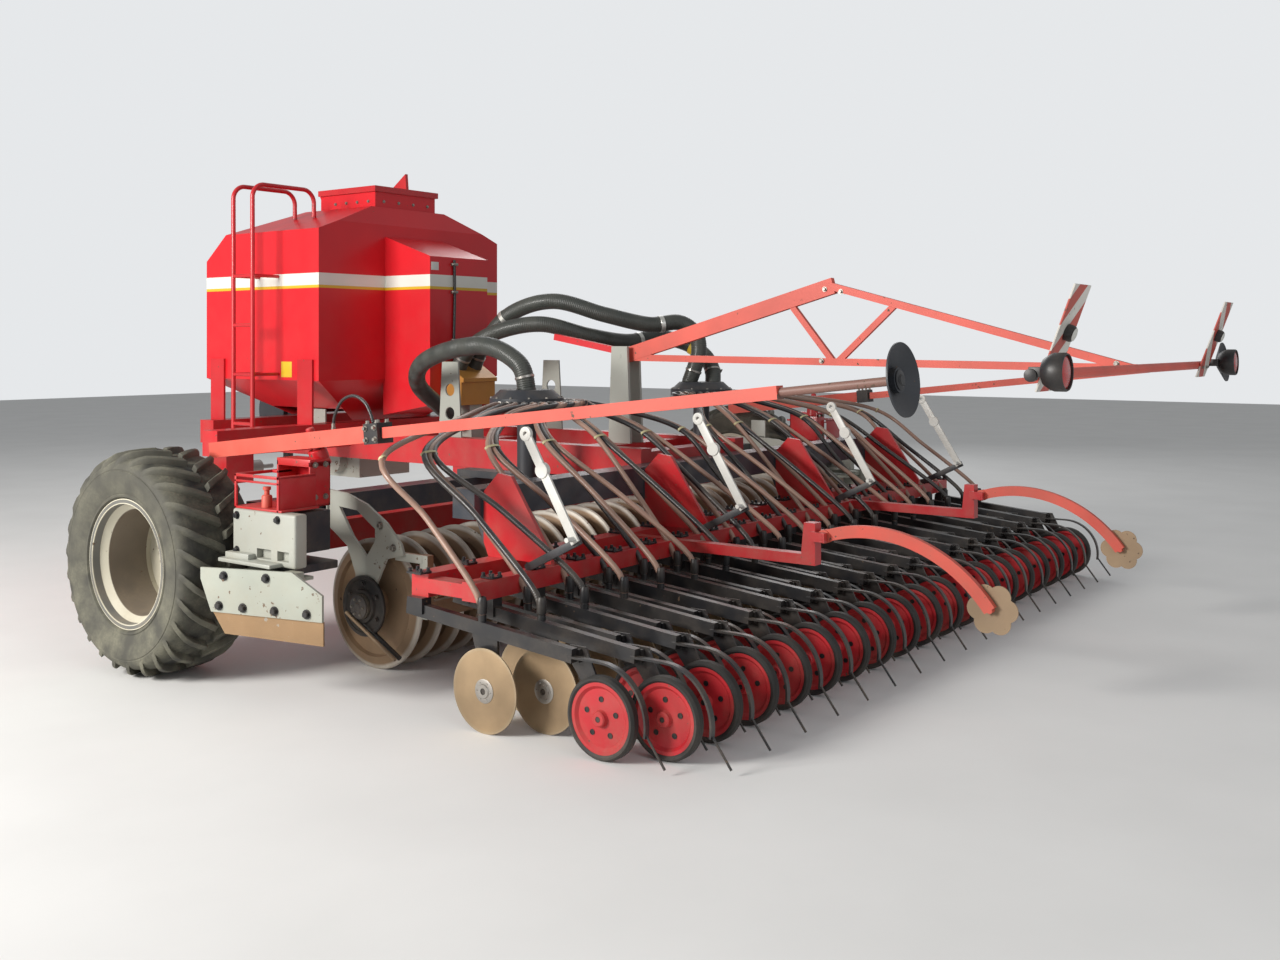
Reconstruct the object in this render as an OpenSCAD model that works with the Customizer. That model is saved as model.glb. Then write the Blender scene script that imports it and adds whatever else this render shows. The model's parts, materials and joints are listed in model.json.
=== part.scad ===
// Trailed pneumatic seed drill, parked with its side markers folded back.
// Frame: X to the right, Y in the direction of travel, Z up, millimetres.
// The origin is on the ground, midway along the length and the width.

/* [Overall] */
// Front tip of the hitch cross shaft, from the origin
front_y = 3700; // [3600:10:3900]
// Rear edge of the light boards, behind the origin
rear_y = 3700; // [3650:10:3800]

/* [Wheels] */
// Outer diameter of a tyre over its lugs
tyre_d = 1090; // [1040:2:1120]
// Width of a tyre
tyre_w = 430; // [380:5:460]
// Distance between the middles of the two tyres
wheel_track = 5430; // [5400:5:5480]
// Axle line, ahead of the origin
axle_y = 330; // [320:5:360]
// Diameter of the rim at its flanges
rim_d = 600; // [560:5:640]
// Height of a tread lug
lug_h = 32; // [20:1:40]
// Lugs on each half of the tread
lug_count = 20; // [14:1:24]

/* [Roller] */
// Diameter of the packer rings
roller_d = 640; // [560:5:660]
// Width over the packer rings
roller_w = 4180; // [4000:10:4200]
// Roller axis, behind the origin
roller_y = 490; // [480:5:520]
// Number of packer rings
ring_count = 30; // [20:1:34]

/* [Coulters] */
// Number of coulters
coulter_count = 36; // [20:2:36]
// Distance between neighbouring seed rows
row_pitch = 142; // [136:1:146]
// Diameter of a seed disc
disc_d = 350; // [320:2:360]
// Diameter of a press wheel
press_d = 325; // [300:1:330]
// Width of a press wheel
press_w = 50; // [40:1:54]
// Axes of the front row of seed discs, behind the origin
disc_y = 1640; // [1600:5:1680]
// Step from the front row of coulters to the rear row
row_step = 200; // [180:5:215]
// Step from a seed disc to the press wheel behind it
press_step = 590; // [570:5:620]

/* [Hopper] */
// Width of the hopper
hopper_w = 1720; // [1600:10:1740]
// Length of the hopper's main body
hopper_l = 1220; // [1150:10:1260]
// Rear wall of the main body, ahead of the origin
hopper_y = 1400; // [1390:5:1420]
// Height of the crease where the walls turn into the funnel
crease_z = 1350; // [1330:5:1380]
// Height of the front eave
eave_z = 2180; // [2100:10:2250]
// Height of the side eaves
side_eave_z = 2360; // [2300:10:2400]
// Height of the flat top
top_z = 2550; // [2500:10:2600]
// Thickness of the sheet walls
sheet_t = 8; // [6:1:12]

/* [Markers] */
// Distance of a side marker arm from the middle
marker_x = 2440; // [2430:2:2446]
// Height of a marker arm at its pivot
marker_z = 1146; // [1140:2:1160]
// Marker pivot, behind the origin
marker_y = 480; // [470:5:490]
// Slope of a folded arm, rising to the rear
marker_slope = 6.4; // [5.5:0.1:7]
// Slope of an unfolded arm, falling outwards
marker_drop = 19; // [17:0.5:20]
// Diameter of a marker disc
marker_disc_d = 250; // [220:5:260]

/* [Light truss] */
// Height of the lower chord
truss_z = 1490; // [1480:5:1520]
// Height of the apex
apex_z = 1920; // [1850:10:1980]

/* [Tramline markers] */
// Distance of a tramline marker from the middle
tram_x = 994; // [990:1:998]
// Pivot of a tramline marker, behind the origin
tram_y = 2400; // [2380:5:2420]
// Height of that pivot
tram_z = 690; // [680:5:710]
// Diameter over the lobes of a tramline disc
tram_disc_d = 230; // [200:5:240]

/* [Hidden] */

$fn = 48;
run = 5;            // clearance between pieces that turn or swing
fit = 0.5;          // radial clearance on a pin
seat = 0.3;         // gap between pieces that only rest against each other
eps = 0.01;

tyre_r = tyre_d / 2;
wheel_x = wheel_track / 2;
roller_r = roller_d / 2;
disc_r = disc_d / 2;
press_r = press_d / 2;

// Main frame
rail_x = 500;
rail_w = 100;
rail_z = 820;
rail_h = 180;
rail_front = 2900;
rail_rear = -1000;
cross_z = 900;
cross_h = 160;
cross_l = 150;
cross_w = 3200;
leg_t = 15;
axle_h = 150;
axle_w = 2 * (wheel_x - tyre_w / 2 - 60);

// Runs its children on the right side and mirrored on the left side
module both() {
    children();
    mirror([1, 0, 0]) children();
}

// A box given by its lowest and highest corners
module block(a, b) {
    translate(a) cube([b[0] - a[0], b[1] - a[1], b[2] - a[2]]);
}

// An outline in the Y-Z plane, thickened along X from x0 to x0 + t
module side_plate(x0, t) {
    translate([x0, 0, 0]) rotate([90, 0, 90]) linear_extrude(t) children();
}

// A cylinder along X from x0 to x0 + l
module bar_x(x0, l, r, y, z) {
    translate([x0, y, z]) rotate([0, 90, 0]) cylinder(r = r, h = l);
}

// A rectangular bar between two points of the Y-Z plane, w wide along X and h high
module strut(x, p, q, w, h) {
    l = norm(q - p);
    translate([x - w / 2, p[0], p[1]])
        rotate([atan2(q[1] - p[1], q[0] - p[0]), 0, 0]) translate([0, 0, -h / 2]) cube([w, l, h]);
}

module main_frame() {
    color("firebrick") {
        both() block([rail_x - rail_w / 2, rail_rear, rail_z], [rail_x + rail_w / 2, rail_front, rail_z + rail_h]);
        for (y = [hopper_y + 50, hopper_y + 1000])
            block([-cross_w / 2 * (y < hopper_y + 500 ? 1 : 0.6), y, cross_z],
                [cross_w / 2 * (y < hopper_y + 500 ? 1 : 0.6), y + cross_l, cross_z + cross_h]);
        both() for (y = [hopper_y + 50, hopper_y + 1000])
            block([hopper_w / 2 + seat, y, cross_z + cross_h - eps], [hopper_w / 2 + seat + leg_t, y + cross_l, crease_z + 140]);
        block([-axle_w / 2, axle_y - axle_h / 2, tyre_r - axle_h / 2], [axle_w / 2, axle_y + axle_h / 2, tyre_r + axle_h / 2]);
        both() block([rail_x - 40, axle_y - 160, tyre_r + axle_h / 2 - eps], [rail_x + 40, axle_y + 160, rail_z + eps]);
        block([-rail_x, mast_y - 90, rail_z + 30], [rail_x, mast_y + 90, rail_z + rail_h - 20]);
        block([-rail_x, rail_rear, rail_z + 20], [rail_x, rail_rear + 120, rail_z + rail_h - 20]);
        block([-rail_x, duct_y - 90, rail_z + 40], [rail_x, duct_y + 90, rail_z + rail_h - 60 - seat]);
    }
}

// Stub axles with their flanges
module axle_stubs() {
    color("dimgray") both() {
        translate([axle_w / 2 + seat, 0, 0]) {
            bar_x(0, 22, 105, axle_y, tyre_r);
            bar_x(20, hub_x - axle_w / 2 - 20 - seat, 55, axle_y, tyre_r);
        }
    }
}

// Hub plate of the wheel, just outside the inner side of the tyre
hub_x = wheel_x - tyre_w / 2 + 90;
hub_t = 14;

// Drawbar: two converging beams, a nose box and the cross shaft for the lower links
shaft_r = 60;
pin_r = 18.5;
hitch_z = 560;
hitch_w = 720;
pin_l = 130;
module drawbar() {
    shaft_y = front_y - shaft_r;
    color("firebrick") {
        both() translate([0, 0, rail_z]) linear_extrude(rail_h - 30)
            polygon([[rail_x - 50, rail_front + seat], [rail_x + 50, rail_front + seat], [120, shaft_y - 170], [20, shaft_y - 170],
                [20, shaft_y - 240]]);
        block([-130, shaft_y - 230, hitch_z - 90], [130, shaft_y - 45, rail_z + rail_h - 40]);
        both() side_plate(60, 25) polygon([[shaft_y - 70, hitch_z - 80], [shaft_y - 70, hitch_z + 260],
            [shaft_y + 20, hitch_z + 100], [shaft_y + 30, hitch_z - 40]]);
        block([240, jack_y - 30, rail_z + 20], [jack_x - jack_tube_r - seat, jack_y + 30, rail_z + 120]);
    }
    color("silver") {
        bar_x(-hitch_w / 2, hitch_w, shaft_r, shaft_y, hitch_z);
        bar_x(-hitch_w / 2 - pin_l, hitch_w + 2 * pin_l, pin_r, shaft_y, hitch_z);
    }
}

// Hopper: walls, funnel, hipped roof and the narrow rear nose
funnel_z = 1000;
funnel_w = 500;
funnel_y = [hopper_y + 300, hopper_y + 750];
hopper_front = hopper_y + hopper_l;
flat_w = 700;
flat_y = [hopper_y + 60, hopper_y + 760];
nose_w = 560;
nose_l = 440;
nose_top = [2345, 2188];
nose_bottom = [1100, 1180];
hatch_w = 560;
hatch_y = [hopper_y + 100, hopper_y + 660];
collar_h = 110;

// The main body, shrunk by t on every side
module hopper_form(t) {
    intersection() {
        rotate([90, 0, 90]) translate([0, 0, -hopper_w / 2 + t]) linear_extrude(hopper_w - 2 * t) polygon([
            [funnel_y[0] + t, funnel_z - t], [funnel_y[1] - t, funnel_z - t], [hopper_front - t, crease_z],
            [hopper_front - t, eave_z - t / 2], [flat_y[1], top_z - t], [flat_y[0], top_z - t],
            [hopper_y + t, side_eave_z + 60], [hopper_y + t, crease_z]]);
        rotate([90, 0, 0]) translate([0, 0, -hopper_front]) linear_extrude(hopper_l) polygon([
            [-funnel_w / 2 + t, funnel_z - t], [funnel_w / 2 - t, funnel_z - t], [hopper_w / 2 - t, crease_z],
            [hopper_w / 2 - t, side_eave_z - t / 2], [flat_w / 2, top_z - t], [-flat_w / 2, top_z - t],
            [-hopper_w / 2 + t, side_eave_z - t / 2], [-hopper_w / 2 + t, crease_z]]);
    }
}

// The nose, shrunk by t
module nose_form(t) {
    side_plate(-nose_w / 2 + t, nose_w - 2 * t) polygon([
        [hopper_y + 20, nose_bottom[0] + t], [hopper_y - nose_l + t, nose_bottom[1] + t],
        [hopper_y - nose_l + t, nose_top[1] - t], [hopper_y + 20, nose_top[0] - t]]);
}

// Hinge lugs and pin on the front of the hatch collar
module hinge_lugs() {
    for (x = [hatch_w / 2 - 75, hatch_w / 2 - 24]) side_plate(x, 9) union() {
        translate(lid_hinge) circle(r = 15);
        polygon([[hatch_y[1] + 4, top_z + collar_h - 40], [lid_hinge[0] - 8, lid_hinge[1] - 14],
            [lid_hinge[0] + 12, lid_hinge[1] - 8], [hatch_y[1] + 4, top_z + collar_h - 70]]);
    }
    bar_x(hatch_w / 2 - 75, 60, hinge_pin_r, lid_hinge[0], lid_hinge[1]);
}

module hopper() {
    color("red") difference() {
        union() {
            hopper_form(0);
            nose_form(0);
            block([-hatch_w / 2 - sheet_t, hatch_y[0] - sheet_t, top_z - 40],
                [hatch_w / 2 + sheet_t, hatch_y[1] + sheet_t, top_z + collar_h]);
            both() hinge_lugs();
        }
        hopper_form(sheet_t);
        difference() {
            nose_form(sheet_t);
            block([-nose_w, hopper_y - eps, 0], [nose_w, hopper_y + 200, 3000]);
        }
        block([-hatch_w / 2, hatch_y[0], top_z - 60], [hatch_w / 2, hatch_y[1], top_z + collar_h + 10]);
    }
}

// Gusset plates below the funnel and the drilled plates on the rails
plate_y = 550;
module hopper_frame_plates() {
    rail_top = rail_z + rail_h + seat;
    slope = (crease_z - funnel_z) / (hopper_w - funnel_w) * 2;
    color("dimgray") both() {
        block([rail_x - 6, funnel_y[0] + 60, rail_top], [rail_x + 6, funnel_y[0] + 330,
            funnel_z + slope * (rail_x - 6 - funnel_w / 2) - 1]);
        side_plate(rail_x - 6, 12) difference() {
            polygon([[plate_y - 100, rail_top], [plate_y + 100, rail_top], [plate_y + 70, crease_z + 130], [plate_y - 70, crease_z + 130]]);
            for (z = [150, 300]) translate([plate_y, rail_top + z]) circle(r = 40);
        }
    }
}

// Metering unit below the funnel
module metering_box() {
    color("dimgray") {
        block([-funnel_w / 2 + 10, funnel_y[0] + 10, 640], [funnel_w / 2 - 10, funnel_y[1] - 10, funnel_z - seat]);
        bar_x(-funnel_w / 2 - 60, funnel_w + 120, 90, funnel_y[0] + 225, 760);
    }
}

// Fan on the front of the frame
fan_y = 2790;
fan_r = 230;
module fan() {
    color("dimgray") {
        bar_x(-110, 220, fan_r, fan_y, rail_z + 260);
        bar_x(-150, 300, 120, fan_y, rail_z + 260);
        block([-90, funnel_y[1] - 10 + seat, rail_z - 60], [90, fan_y, rail_z + 60]);
        block([-rail_x + rail_w / 2 + seat, fan_y - 30, cross_z], [rail_x - rail_w / 2 - seat, fan_y + 30, cross_z + 30]);
    }
}

// Air duct that the main hoses leave from
duct_y = 865;
duct_z = 1180;
duct_w = 330;
duct_l = 170;
duct_tilt = 31;
duct_mouth = [890, 1440];
module air_duct() {
    low = duct_y - duct_l / 2;
    high = duct_y + duct_l / 2;
    rise = tan(duct_tilt);
    mouth_z = duct_mouth[1] - seat;
    color("orange") side_plate(-duct_w / 2, duct_w) polygon([[low, duct_z], [high, duct_z],
        [high, mouth_z + rise * (high - duct_mouth[0])], [low - 20, mouth_z + rise * (low - 20 - duct_mouth[0])],
        [low - 20, mouth_z + rise * (low - 20 - duct_mouth[0]) - 25], [low, mouth_z + rise * (low - duct_mouth[0]) - 40]]);
    color("dimgray") side_plate(-60, 120) polygon([[duct_y - 80, rail_z + rail_h - 60], [duct_y + 80, rail_z + rail_h - 60],
        [duct_y + 60, duct_z + 10], [duct_y - 60, duct_z + 10]]);
}

// Ladder on the left side with hoops over the roof
ladder_x = -1070;
ladder_y = [1815, 2020];
ladder_r = 15;
ladder_top = 2660;
module ladder() {
    hoop_r = 90;
    ladder_leg_x = ladder_x + 2 * hoop_r + 330;
    ladder_foot_z = top_z - (top_z - side_eave_z) * (-ladder_leg_x - ladder_r - flat_w / 2) / (hopper_w - flat_w) * 2 + seat;
    color("firebrick") {
        for (y = ladder_y) {
            translate([ladder_x, y, cross_z + 60]) cylinder(r = ladder_r, h = ladder_top - hoop_r - cross_z - 60);
            translate([ladder_x + hoop_r, y, ladder_top - hoop_r]) rotate([90, 0, 180])
                rotate_extrude(angle = 90) translate([hoop_r, 0]) circle(r = ladder_r);
            bar_x(ladder_x + hoop_r, 330, ladder_r, y, ladder_top);
            translate([ladder_x + hoop_r + 330, y, ladder_top - hoop_r]) rotate([90, 0, 0])
                rotate_extrude(angle = 90) translate([hoop_r, 0]) circle(r = ladder_r);
        }
        for (y = ladder_y) translate([ladder_leg_x, y, ladder_foot_z])
            cylinder(r = ladder_r, h = ladder_top - hoop_r - ladder_foot_z + eps);
        for (z = [1060:330:2080])
            translate([ladder_x, ladder_y[0], z]) rotate([-90, 0, 0]) cylinder(r = 12, h = ladder_y[1] - ladder_y[0]);
        for (z = [1390, 2050]) for (y = ladder_y)
            bar_x(ladder_x, -ladder_x - hopper_w / 2 - seat, 11, y, z);
        block([ladder_x - 25, ladder_y[0] - 25, cross_z], [ladder_x + 25, ladder_y[1] + 25, cross_z + 60 + eps]);
        block([ladder_x - 25, hopper_y + 50 + cross_l + seat, cross_z], [ladder_x + 25, ladder_y[0], cross_z + 40]);
    }
}

// Hinged hatch lid with its raised rear flap
lid_t = 40;
hinge_pin_r = 8;
lid_hinge = [hatch_y[1] + sheet_t + 32, top_z + collar_h + 18];
module lid() {
    lid_z = top_z + collar_h + seat;
    color("red") {
        block([-hatch_w / 2 - 25, hatch_y[0] - 25, lid_z], [hatch_w / 2 + 25, hatch_y[1] + 20, lid_z + lid_t]);
        both() side_plate(hatch_w / 2 - 60, 30) difference() {
            union() {
                translate(lid_hinge) circle(r = 17);
                translate([lid_hinge[0] - 30, lid_z + 8]) square([30, 26]);
            }
            translate(lid_hinge) circle(r = hinge_pin_r + fit);
        }
        side_plate(-12, 24) polygon([[hatch_y[0] - 25, lid_z + lid_t - eps], [hatch_y[0] - 15, lid_z + 150],
            [hatch_y[0] + 140, lid_z + lid_t - eps]]);
    }
}

// Roller frame: cross beam and the arched end brackets
beam_y = [-110, 40];
beam_z = [700, rail_z - seat];
bracket_x = roller_w / 2 + 30;
bracket_t = 14;
module roller_frame() {
    ry = -roller_y;
    color("darkslategray") block([-bracket_x - 310, beam_y[0], beam_z[0]], [bracket_x + 310, beam_y[1], beam_z[1]]);
    color("gray") both() {
        side_plate(bracket_x, bracket_t) difference() {
            polygon([[beam_y[1], 690], [beam_y[1], 862], [-180, 872], [-350, 860], [-500, 815], [-640, 735], [-742, 640],
                [-760, 590], [-640, 560], [-590, 470], [ry - 60, 400], [ry - 75, roller_r], [ry, roller_r - 75],
                [ry + 75, roller_r], [ry + 70, 470], [-360, 600], [-230, 680]]);
            polygon([[-300, 790], [-430, 780], [-560, 700], [-560, 640], [-500, 560], [-400, 650]]);
        }
        bar_x(bracket_x - 40, 90, 62, ry, roller_r);
    }
    color("saddlebrown") {
        block([-roller_w / 2 + 20, ry - roller_r - 95, 300], [roller_w / 2 - 20, ry - roller_r - 45, 380]);
        both() block([bracket_x - 40, ry - roller_r - 95, 300], [bracket_x, ry - roller_r - 45, 600]);
        both() block([bracket_x - 22, ry - roller_r - 60, 560], [bracket_x + 2, -690, 600]);
        both() block([roller_w / 2 - 40, ry - roller_r - 95, 300], [bracket_x, ry - roller_r - 45, 380]);
    }
}

// Packer roller: a tube with webs and wedge rings
module roller() {
    step = (roller_w - 60) / (ring_count - 1);
    color("burlywood") translate([-roller_w / 2, -roller_y, roller_r]) rotate([0, 90, 0]) {
        difference() {
            union() {
                cylinder(r = 90, h = roller_w);
                for (i = [0:ring_count - 1]) translate([0, 0, 30 + i * step]) rotate_extrude() polygon([
                    [60, -5], [roller_r - 70, -5], [roller_r - 62, -26], [roller_r - 6, -9], [roller_r, -3],
                    [roller_r, 3], [roller_r - 6, 9], [roller_r - 62, 26], [roller_r - 70, 5], [60, 5]]);
            }
            translate([0, 0, -1]) cylinder(r = 62 + run, h = 56);
            translate([0, 0, roller_w - 55]) cylinder(r = 62 + run, h = 56);
        }
    }
}

// Side boxes behind the wheels
box_x = [2380, 2720];
box_y = [-700, -250];
box_z = [600, 840];
module side_boxes() {
    color("gray") both() {
        block([box_x[0], box_y[0], box_z[0]], [box_x[1], box_y[1], box_z[1]]);
        block([box_x[0] - 60, box_y[0] - 40, box_z[0] - 60], [box_x[1] - 100, box_y[1] + 30, box_z[0] + eps]);
        block([box_x[0], box_y[1] - eps, box_z[0] + 120], [box_x[0] + 80, beam_y[0] - seat, box_z[1] - 30]);
    }
}

// Red posts on the side boxes that carry the marker pivots
mount_top = 1060;
pin_axis = cross([0, -cos(marker_slope), sin(marker_slope)], [cos(marker_drop), 0, -sin(marker_drop)]);
module marker_mounts() {
    color("firebrick") both() {
        difference() {
            block([box_x[0] + 10, box_y[0] + 30, box_z[1] + seat], [box_x[0] + 130, box_y[1] - 30, mount_top]);
            block([box_x[0], box_y[0] + 70, box_z[1] + 60], [box_x[1], -marker_y - 60, mount_top - 60]);
            block([box_x[0], -marker_y + 60, box_z[1] + 60], [box_x[1], box_y[1] - 70, mount_top - 60]);
        }
        translate([marker_x, -marker_y, marker_z]) along(pin_axis) {
            translate([0, 0, -130]) cylinder(r = 19.5, h = 190);
            translate([0, 0, -130]) cylinder(r = 44, h = 84);
        }
    }
}

// Turns Z onto a direction
module along(d) {
    rotate([0, acos(d[2] / norm(d)), atan2(d[1], d[0])]) children();
}

// Levelling boards behind the wheels with their worn blades
board_a = [2880, -245];
board_b = [2725, -890];
board_t = 14;
module board_at(z0, z1, lead) {
    l = norm(board_b - board_a);
    translate([board_a[0], board_a[1], 0]) rotate([0, 0, atan2(board_b[1] - board_a[1], board_b[0] - board_a[0])])
        translate([0, -board_t / 2, 0]) rotate([90, 0, 0]) translate([0, 0, -board_t]) linear_extrude(board_t)
            polygon([[lead, z0], [l, z0], [l, z1 - 90], [l - 160, z1], [0, z1 - 10], [0, z1 - 60]]);
}

module levelling_boards() {
    color("gray") both() {
        board_at(395, 600, 60);
        block([2690, -720, 560], [2770, -640, 590]);
        block([box_x[1] - 100 + seat, -700, 545], [2770, -300, 560]);
    }
}

module board_blades() {
    color("peru") both() {
        l = norm(board_b - board_a);
        translate([board_a[0], board_a[1], 0]) rotate([0, 0, atan2(board_b[1] - board_a[1], board_b[0] - board_a[0])])
            translate([0, board_t / 2 - 10, 0]) rotate([90, 0, 0]) linear_extrude(8)
                polygon([[130, 300], [l, 290], [l, 395 - seat], [62, 395 - seat]]);
    }
}

// Coulter frame: two toolbars, end members and the beams of the tramline markers
tool_y = [-1280, -1180];
tool_z = [510, 610];
rear_tool_y = [-1560, -1480];
frame_w = 4960;
module coulter_frame() {
    color("firebrick") {
        block([-frame_w / 2, tool_y[0], tool_z[0]], [frame_w / 2, tool_y[1], tool_z[1]]);
        block([-frame_w / 2, rear_tool_y[0], tool_z[0] + 10], [frame_w / 2, rear_tool_y[1], tool_z[1] - 10]);
        for (x = [-frame_w / 2 + 40, -1700, 1700, frame_w / 2 - 40])
            block([x - 40, rear_tool_y[0], tool_z[0] + 20], [x + 40, tool_y[1], tool_z[1] - 20]);
        both() block([tram_x - 30, -tram_y + 40, tool_z[1] - 60], [tram_x + 30, tool_y[0] + 10, tool_z[1] - 10]);
        both() side_plate(tram_x - 30, 60) polygon([[-tram_y + 40, tool_z[1] - 60], [-tram_y + 120, tool_z[1] - 60],
            [-tram_y + 100, tram_z + 60], [-tram_y + 40, tram_z + 60]]);
        both() bar_x(tram_x - 60, 120, 14, -tram_y, tram_z);
        both() for (s = [-1, 1]) block([tram_x + s * 44 - 14, -tram_y - 22, tram_z - 22], [tram_x + s * 44 + 14, -tram_y + 60, tram_z + 22]);
    }
}

// Arms that carry the coulter frame from the main frame, midway between two rows
stand_x = [for (k = [-14, -5, 5, 14]) k * row_pitch];
stand_y = -1520;
module lift_arms() {
    color("red") for (x = stand_x)
        side_plate(x - 10, 20) polygon([[tool_y[1] + 80, 780], [tool_y[1] + 80, 860], [-1240, 1000], [-1320, 990], [-1560, 640],
            [-1560, tool_z[1] + seat], [-1180, tool_z[1] + seat]]);
    color("darkslategray") {
        block([-2050, rail_rear - 140, rail_z - 40], [2050, rail_rear - seat, rail_z + 100]);
    }
}

// Grey stands on the rear toolbar that hold up the seed hoses
module hose_stands() {
    color("lightgray") for (x = stand_x) {
        strut(x + 30, [stand_y, tool_z[1]], [stand_y + 120, 1020], 14, 46);
        block([x + 14, rear_tool_y[0] + 5, tool_z[1] - 10 + seat], [x + 46, rear_tool_y[1] - 5, tool_z[1] + 20]);
        translate([x + 30, stand_y + 120, 1020]) rotate([0, 90, 0]) translate([0, 0, -40]) cylinder(r = 12, h = 80);
    }
}

// Coulter arm: beam, hub plate and pin, press-wheel plate and pin, cover hoop and tine
hoop_r = 210;
arm_z = 462;
arm_w = 36;
arm_h = 56;
disc_x = -30;
boot_z = 478;
function row_x(i) = (i - (coulter_count - 1) / 2) * row_pitch;
module coulter_arm(x, dy, bar, bar_z) {
    hub = [-disc_y - dy, disc_r];
    wheel = [-disc_y - dy - press_step, press_r];
    translate([x, 0, 0]) {
        strut(0, [bar[1] + 10, arm_z], wheel + [140, 218], arm_w, arm_h);
        block([-28, bar[0] + 5, arm_z - 20], [28, bar[1] - 5, bar_z - seat]);
        side_plate(2, 12) polygon([[hub[0] - 50, disc_r - 30], [hub[0] + 30, disc_r - 30], [hub[0] + 110, 430], [hub[0] - 40, 420]]);
        bar_x(disc_x - 6, 40, 12, hub[0], hub[1]);
        translate([0, hub[0] + 40, arm_z - arm_h]) cylinder(r = 18, h = boot_z - arm_z + arm_h);
        side_plate(press_w / 2 + 8, 9) polygon([[wheel[0] - 24, press_r - 20], [wheel[0] + 24, press_r - 20],
            [wheel[0] + 190, 350], [wheel[0] + 190, 410], [wheel[0] + 110, 410]]);
        block([arm_w / 2 - 3, wheel[0] + 130, 350], [press_w / 2 + 10, wheel[0] + 180, 402]);
        bar_x(-press_w / 2 - 6, press_w + 22, 10, wheel[0], wheel[1]);
        translate([-22, wheel[0], wheel[1]]) rotate([90, 0, 90])
            rotate_extrude(angle = 100, start = 90) translate([hoop_r, 0]) square([9, 26]);
        block([-22, wheel[0] - eps, wheel[1] + hoop_r], [4, wheel[0] + 160, wheel[1] + hoop_r + 9]);
        translate([-9, wheel[0] - hoop_r + 2, wheel[1] - 20]) rotate([143, 0, 0]) cylinder(r = 5, h = 150);
    }
}

module coulter_arms_front() {
    color("black") for (i = [0:2:coulter_count - 1]) coulter_arm(row_x(i), 0, tool_y, tool_z[0]);
}

module coulter_arms_rear() {
    color("black") for (i = [1:2:coulter_count - 1]) coulter_arm(row_x(i), row_step, rear_tool_y, tool_z[0] + 10);
}

// A row of seed discs
module disc_row(first, dy) {
    for (i = [first:2:coulter_count - 1]) translate([row_x(i), -disc_y - dy, disc_r]) rotate([0, 90, 0]) difference() {
        union() {
            translate([0, 0, disc_x]) cylinder(r = disc_r, h = 5);
            translate([0, 0, disc_x + 4]) cylinder(r = 42, h = 20);
        }
        translate([0, 0, -40]) cylinder(r = 12 + fit, h = 60);
    }
}

module discs_front() {
    color("tan") disc_row(0, 0);
}

module discs_rear() {
    color("tan") disc_row(1, row_step);
}

// A row of red press-wheel rims
rim_r = press_r - 24;
module rim_row(first, dy) {
    for (i = [first:2:coulter_count - 1]) translate([row_x(i), -disc_y - dy - press_step, press_r]) rotate([0, 90, 0])
        rotate_extrude() polygon([[10 + fit, -16], [30, -20], [34, -10], [rim_r - 26, -6], [rim_r - 14, -18], [rim_r, -18],
            [rim_r, 18], [rim_r - 14, 18], [rim_r - 26, 0], [34, -2], [30, 16], [10 + fit, 16]]);
}

module press_rims_front() {
    color("crimson") rim_row(0, 0);
}

module press_rims_rear() {
    color("crimson") rim_row(1, row_step);
}

// A row of rubber tyres on the press wheels
module tyre_row(first, dy) {
    w = press_w / 2;
    for (i = [first:2:coulter_count - 1]) translate([row_x(i), -disc_y - dy - press_step, press_r]) rotate([0, 90, 0])
        rotate_extrude() polygon([[rim_r + seat, -w + 6], [rim_r + 8, -w], [press_r - 9, -w], [press_r, -w + 12],
            [press_r, w - 12], [press_r - 9, w], [rim_r + 8, w], [rim_r + seat, w - 6]]);
}

module press_tyres_front() {
    color("black") tyre_row(0, 0);
}

module press_tyres_rear() {
    color("black") tyre_row(1, row_step);
}

// Lugged tyre with its axis along X, centred at the origin
module tyre() {
    w = tyre_w / 2;
    base_r = tyre_r - lug_h;
    rotate([0, 90, 0]) {
        rotate_extrude() polygon([[rim_d / 2 + seat, -w + 70], [rim_d / 2 + 14, -w + 34], [rim_d / 2 + 80, -w], [base_r - 90, -w + 4],
            [base_r - 26, -w + 34], [base_r, -w + 90], [base_r, w - 90], [base_r - 26, w - 34], [base_r - 90, w - 4],
            [rim_d / 2 + 80, w], [rim_d / 2 + 14, w - 34], [rim_d / 2 + seat, w - 70]]);
        intersection() {
            for (side = [0, 1], i = [0:lug_count - 1])
                mirror([0, 0, side]) rotate([0, 0, (i + side / 2) * 360 / lug_count])
                    translate([base_r - 40, 0, -8]) rotate([-42, 0, 0]) translate([0, -19, 0]) cube([lug_h + 60, 38, w * 1.25]);
            rotate_extrude() polygon([[base_r - 30, -w + 8], [base_r - 4, -w + 2], [tyre_r - 6, -w + 22], [tyre_r, -w + 60], [tyre_r, w - 60],
                [tyre_r - 6, w - 22], [base_r - 4, w - 2], [base_r - 30, w - 8]]);
        }
    }
}

// Deep rim: barrel with two flanges and the hub plate near its inner side
module rim() {
    w = tyre_w / 2 - 30;
    r = rim_d / 2;
    hub = hub_x - wheel_x;
    rotate([0, 90, 0]) difference() {
        union() {
            rotate_extrude() polygon([[r - 12, -w], [r + 12, -w], [r + 12, -w + 8], [r, -w + 12], [r, w - 12], [r + 12, w - 8],
                [r + 12, w], [r - 12, w], [r - 16, w - 40], [r - 44, w - 70], [r - 44, -w + 70], [r - 16, -w + 40]]);
            translate([0, 0, hub]) cylinder(r = r - 34, h = hub_t);
            translate([0, 0, hub]) cylinder(r = 80, h = 60);
        }
        for (a = [0:45:315]) rotate([0, 0, a]) translate([165, 0, hub - 5]) cylinder(r = 22, h = hub_t + 10);
    }
}

module tyre_left() {
    color("dimgray") translate([-wheel_x, axle_y, tyre_r]) tyre();
}

module tyre_right() {
    color("dimgray") translate([wheel_x, axle_y, tyre_r]) tyre();
}

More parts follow.
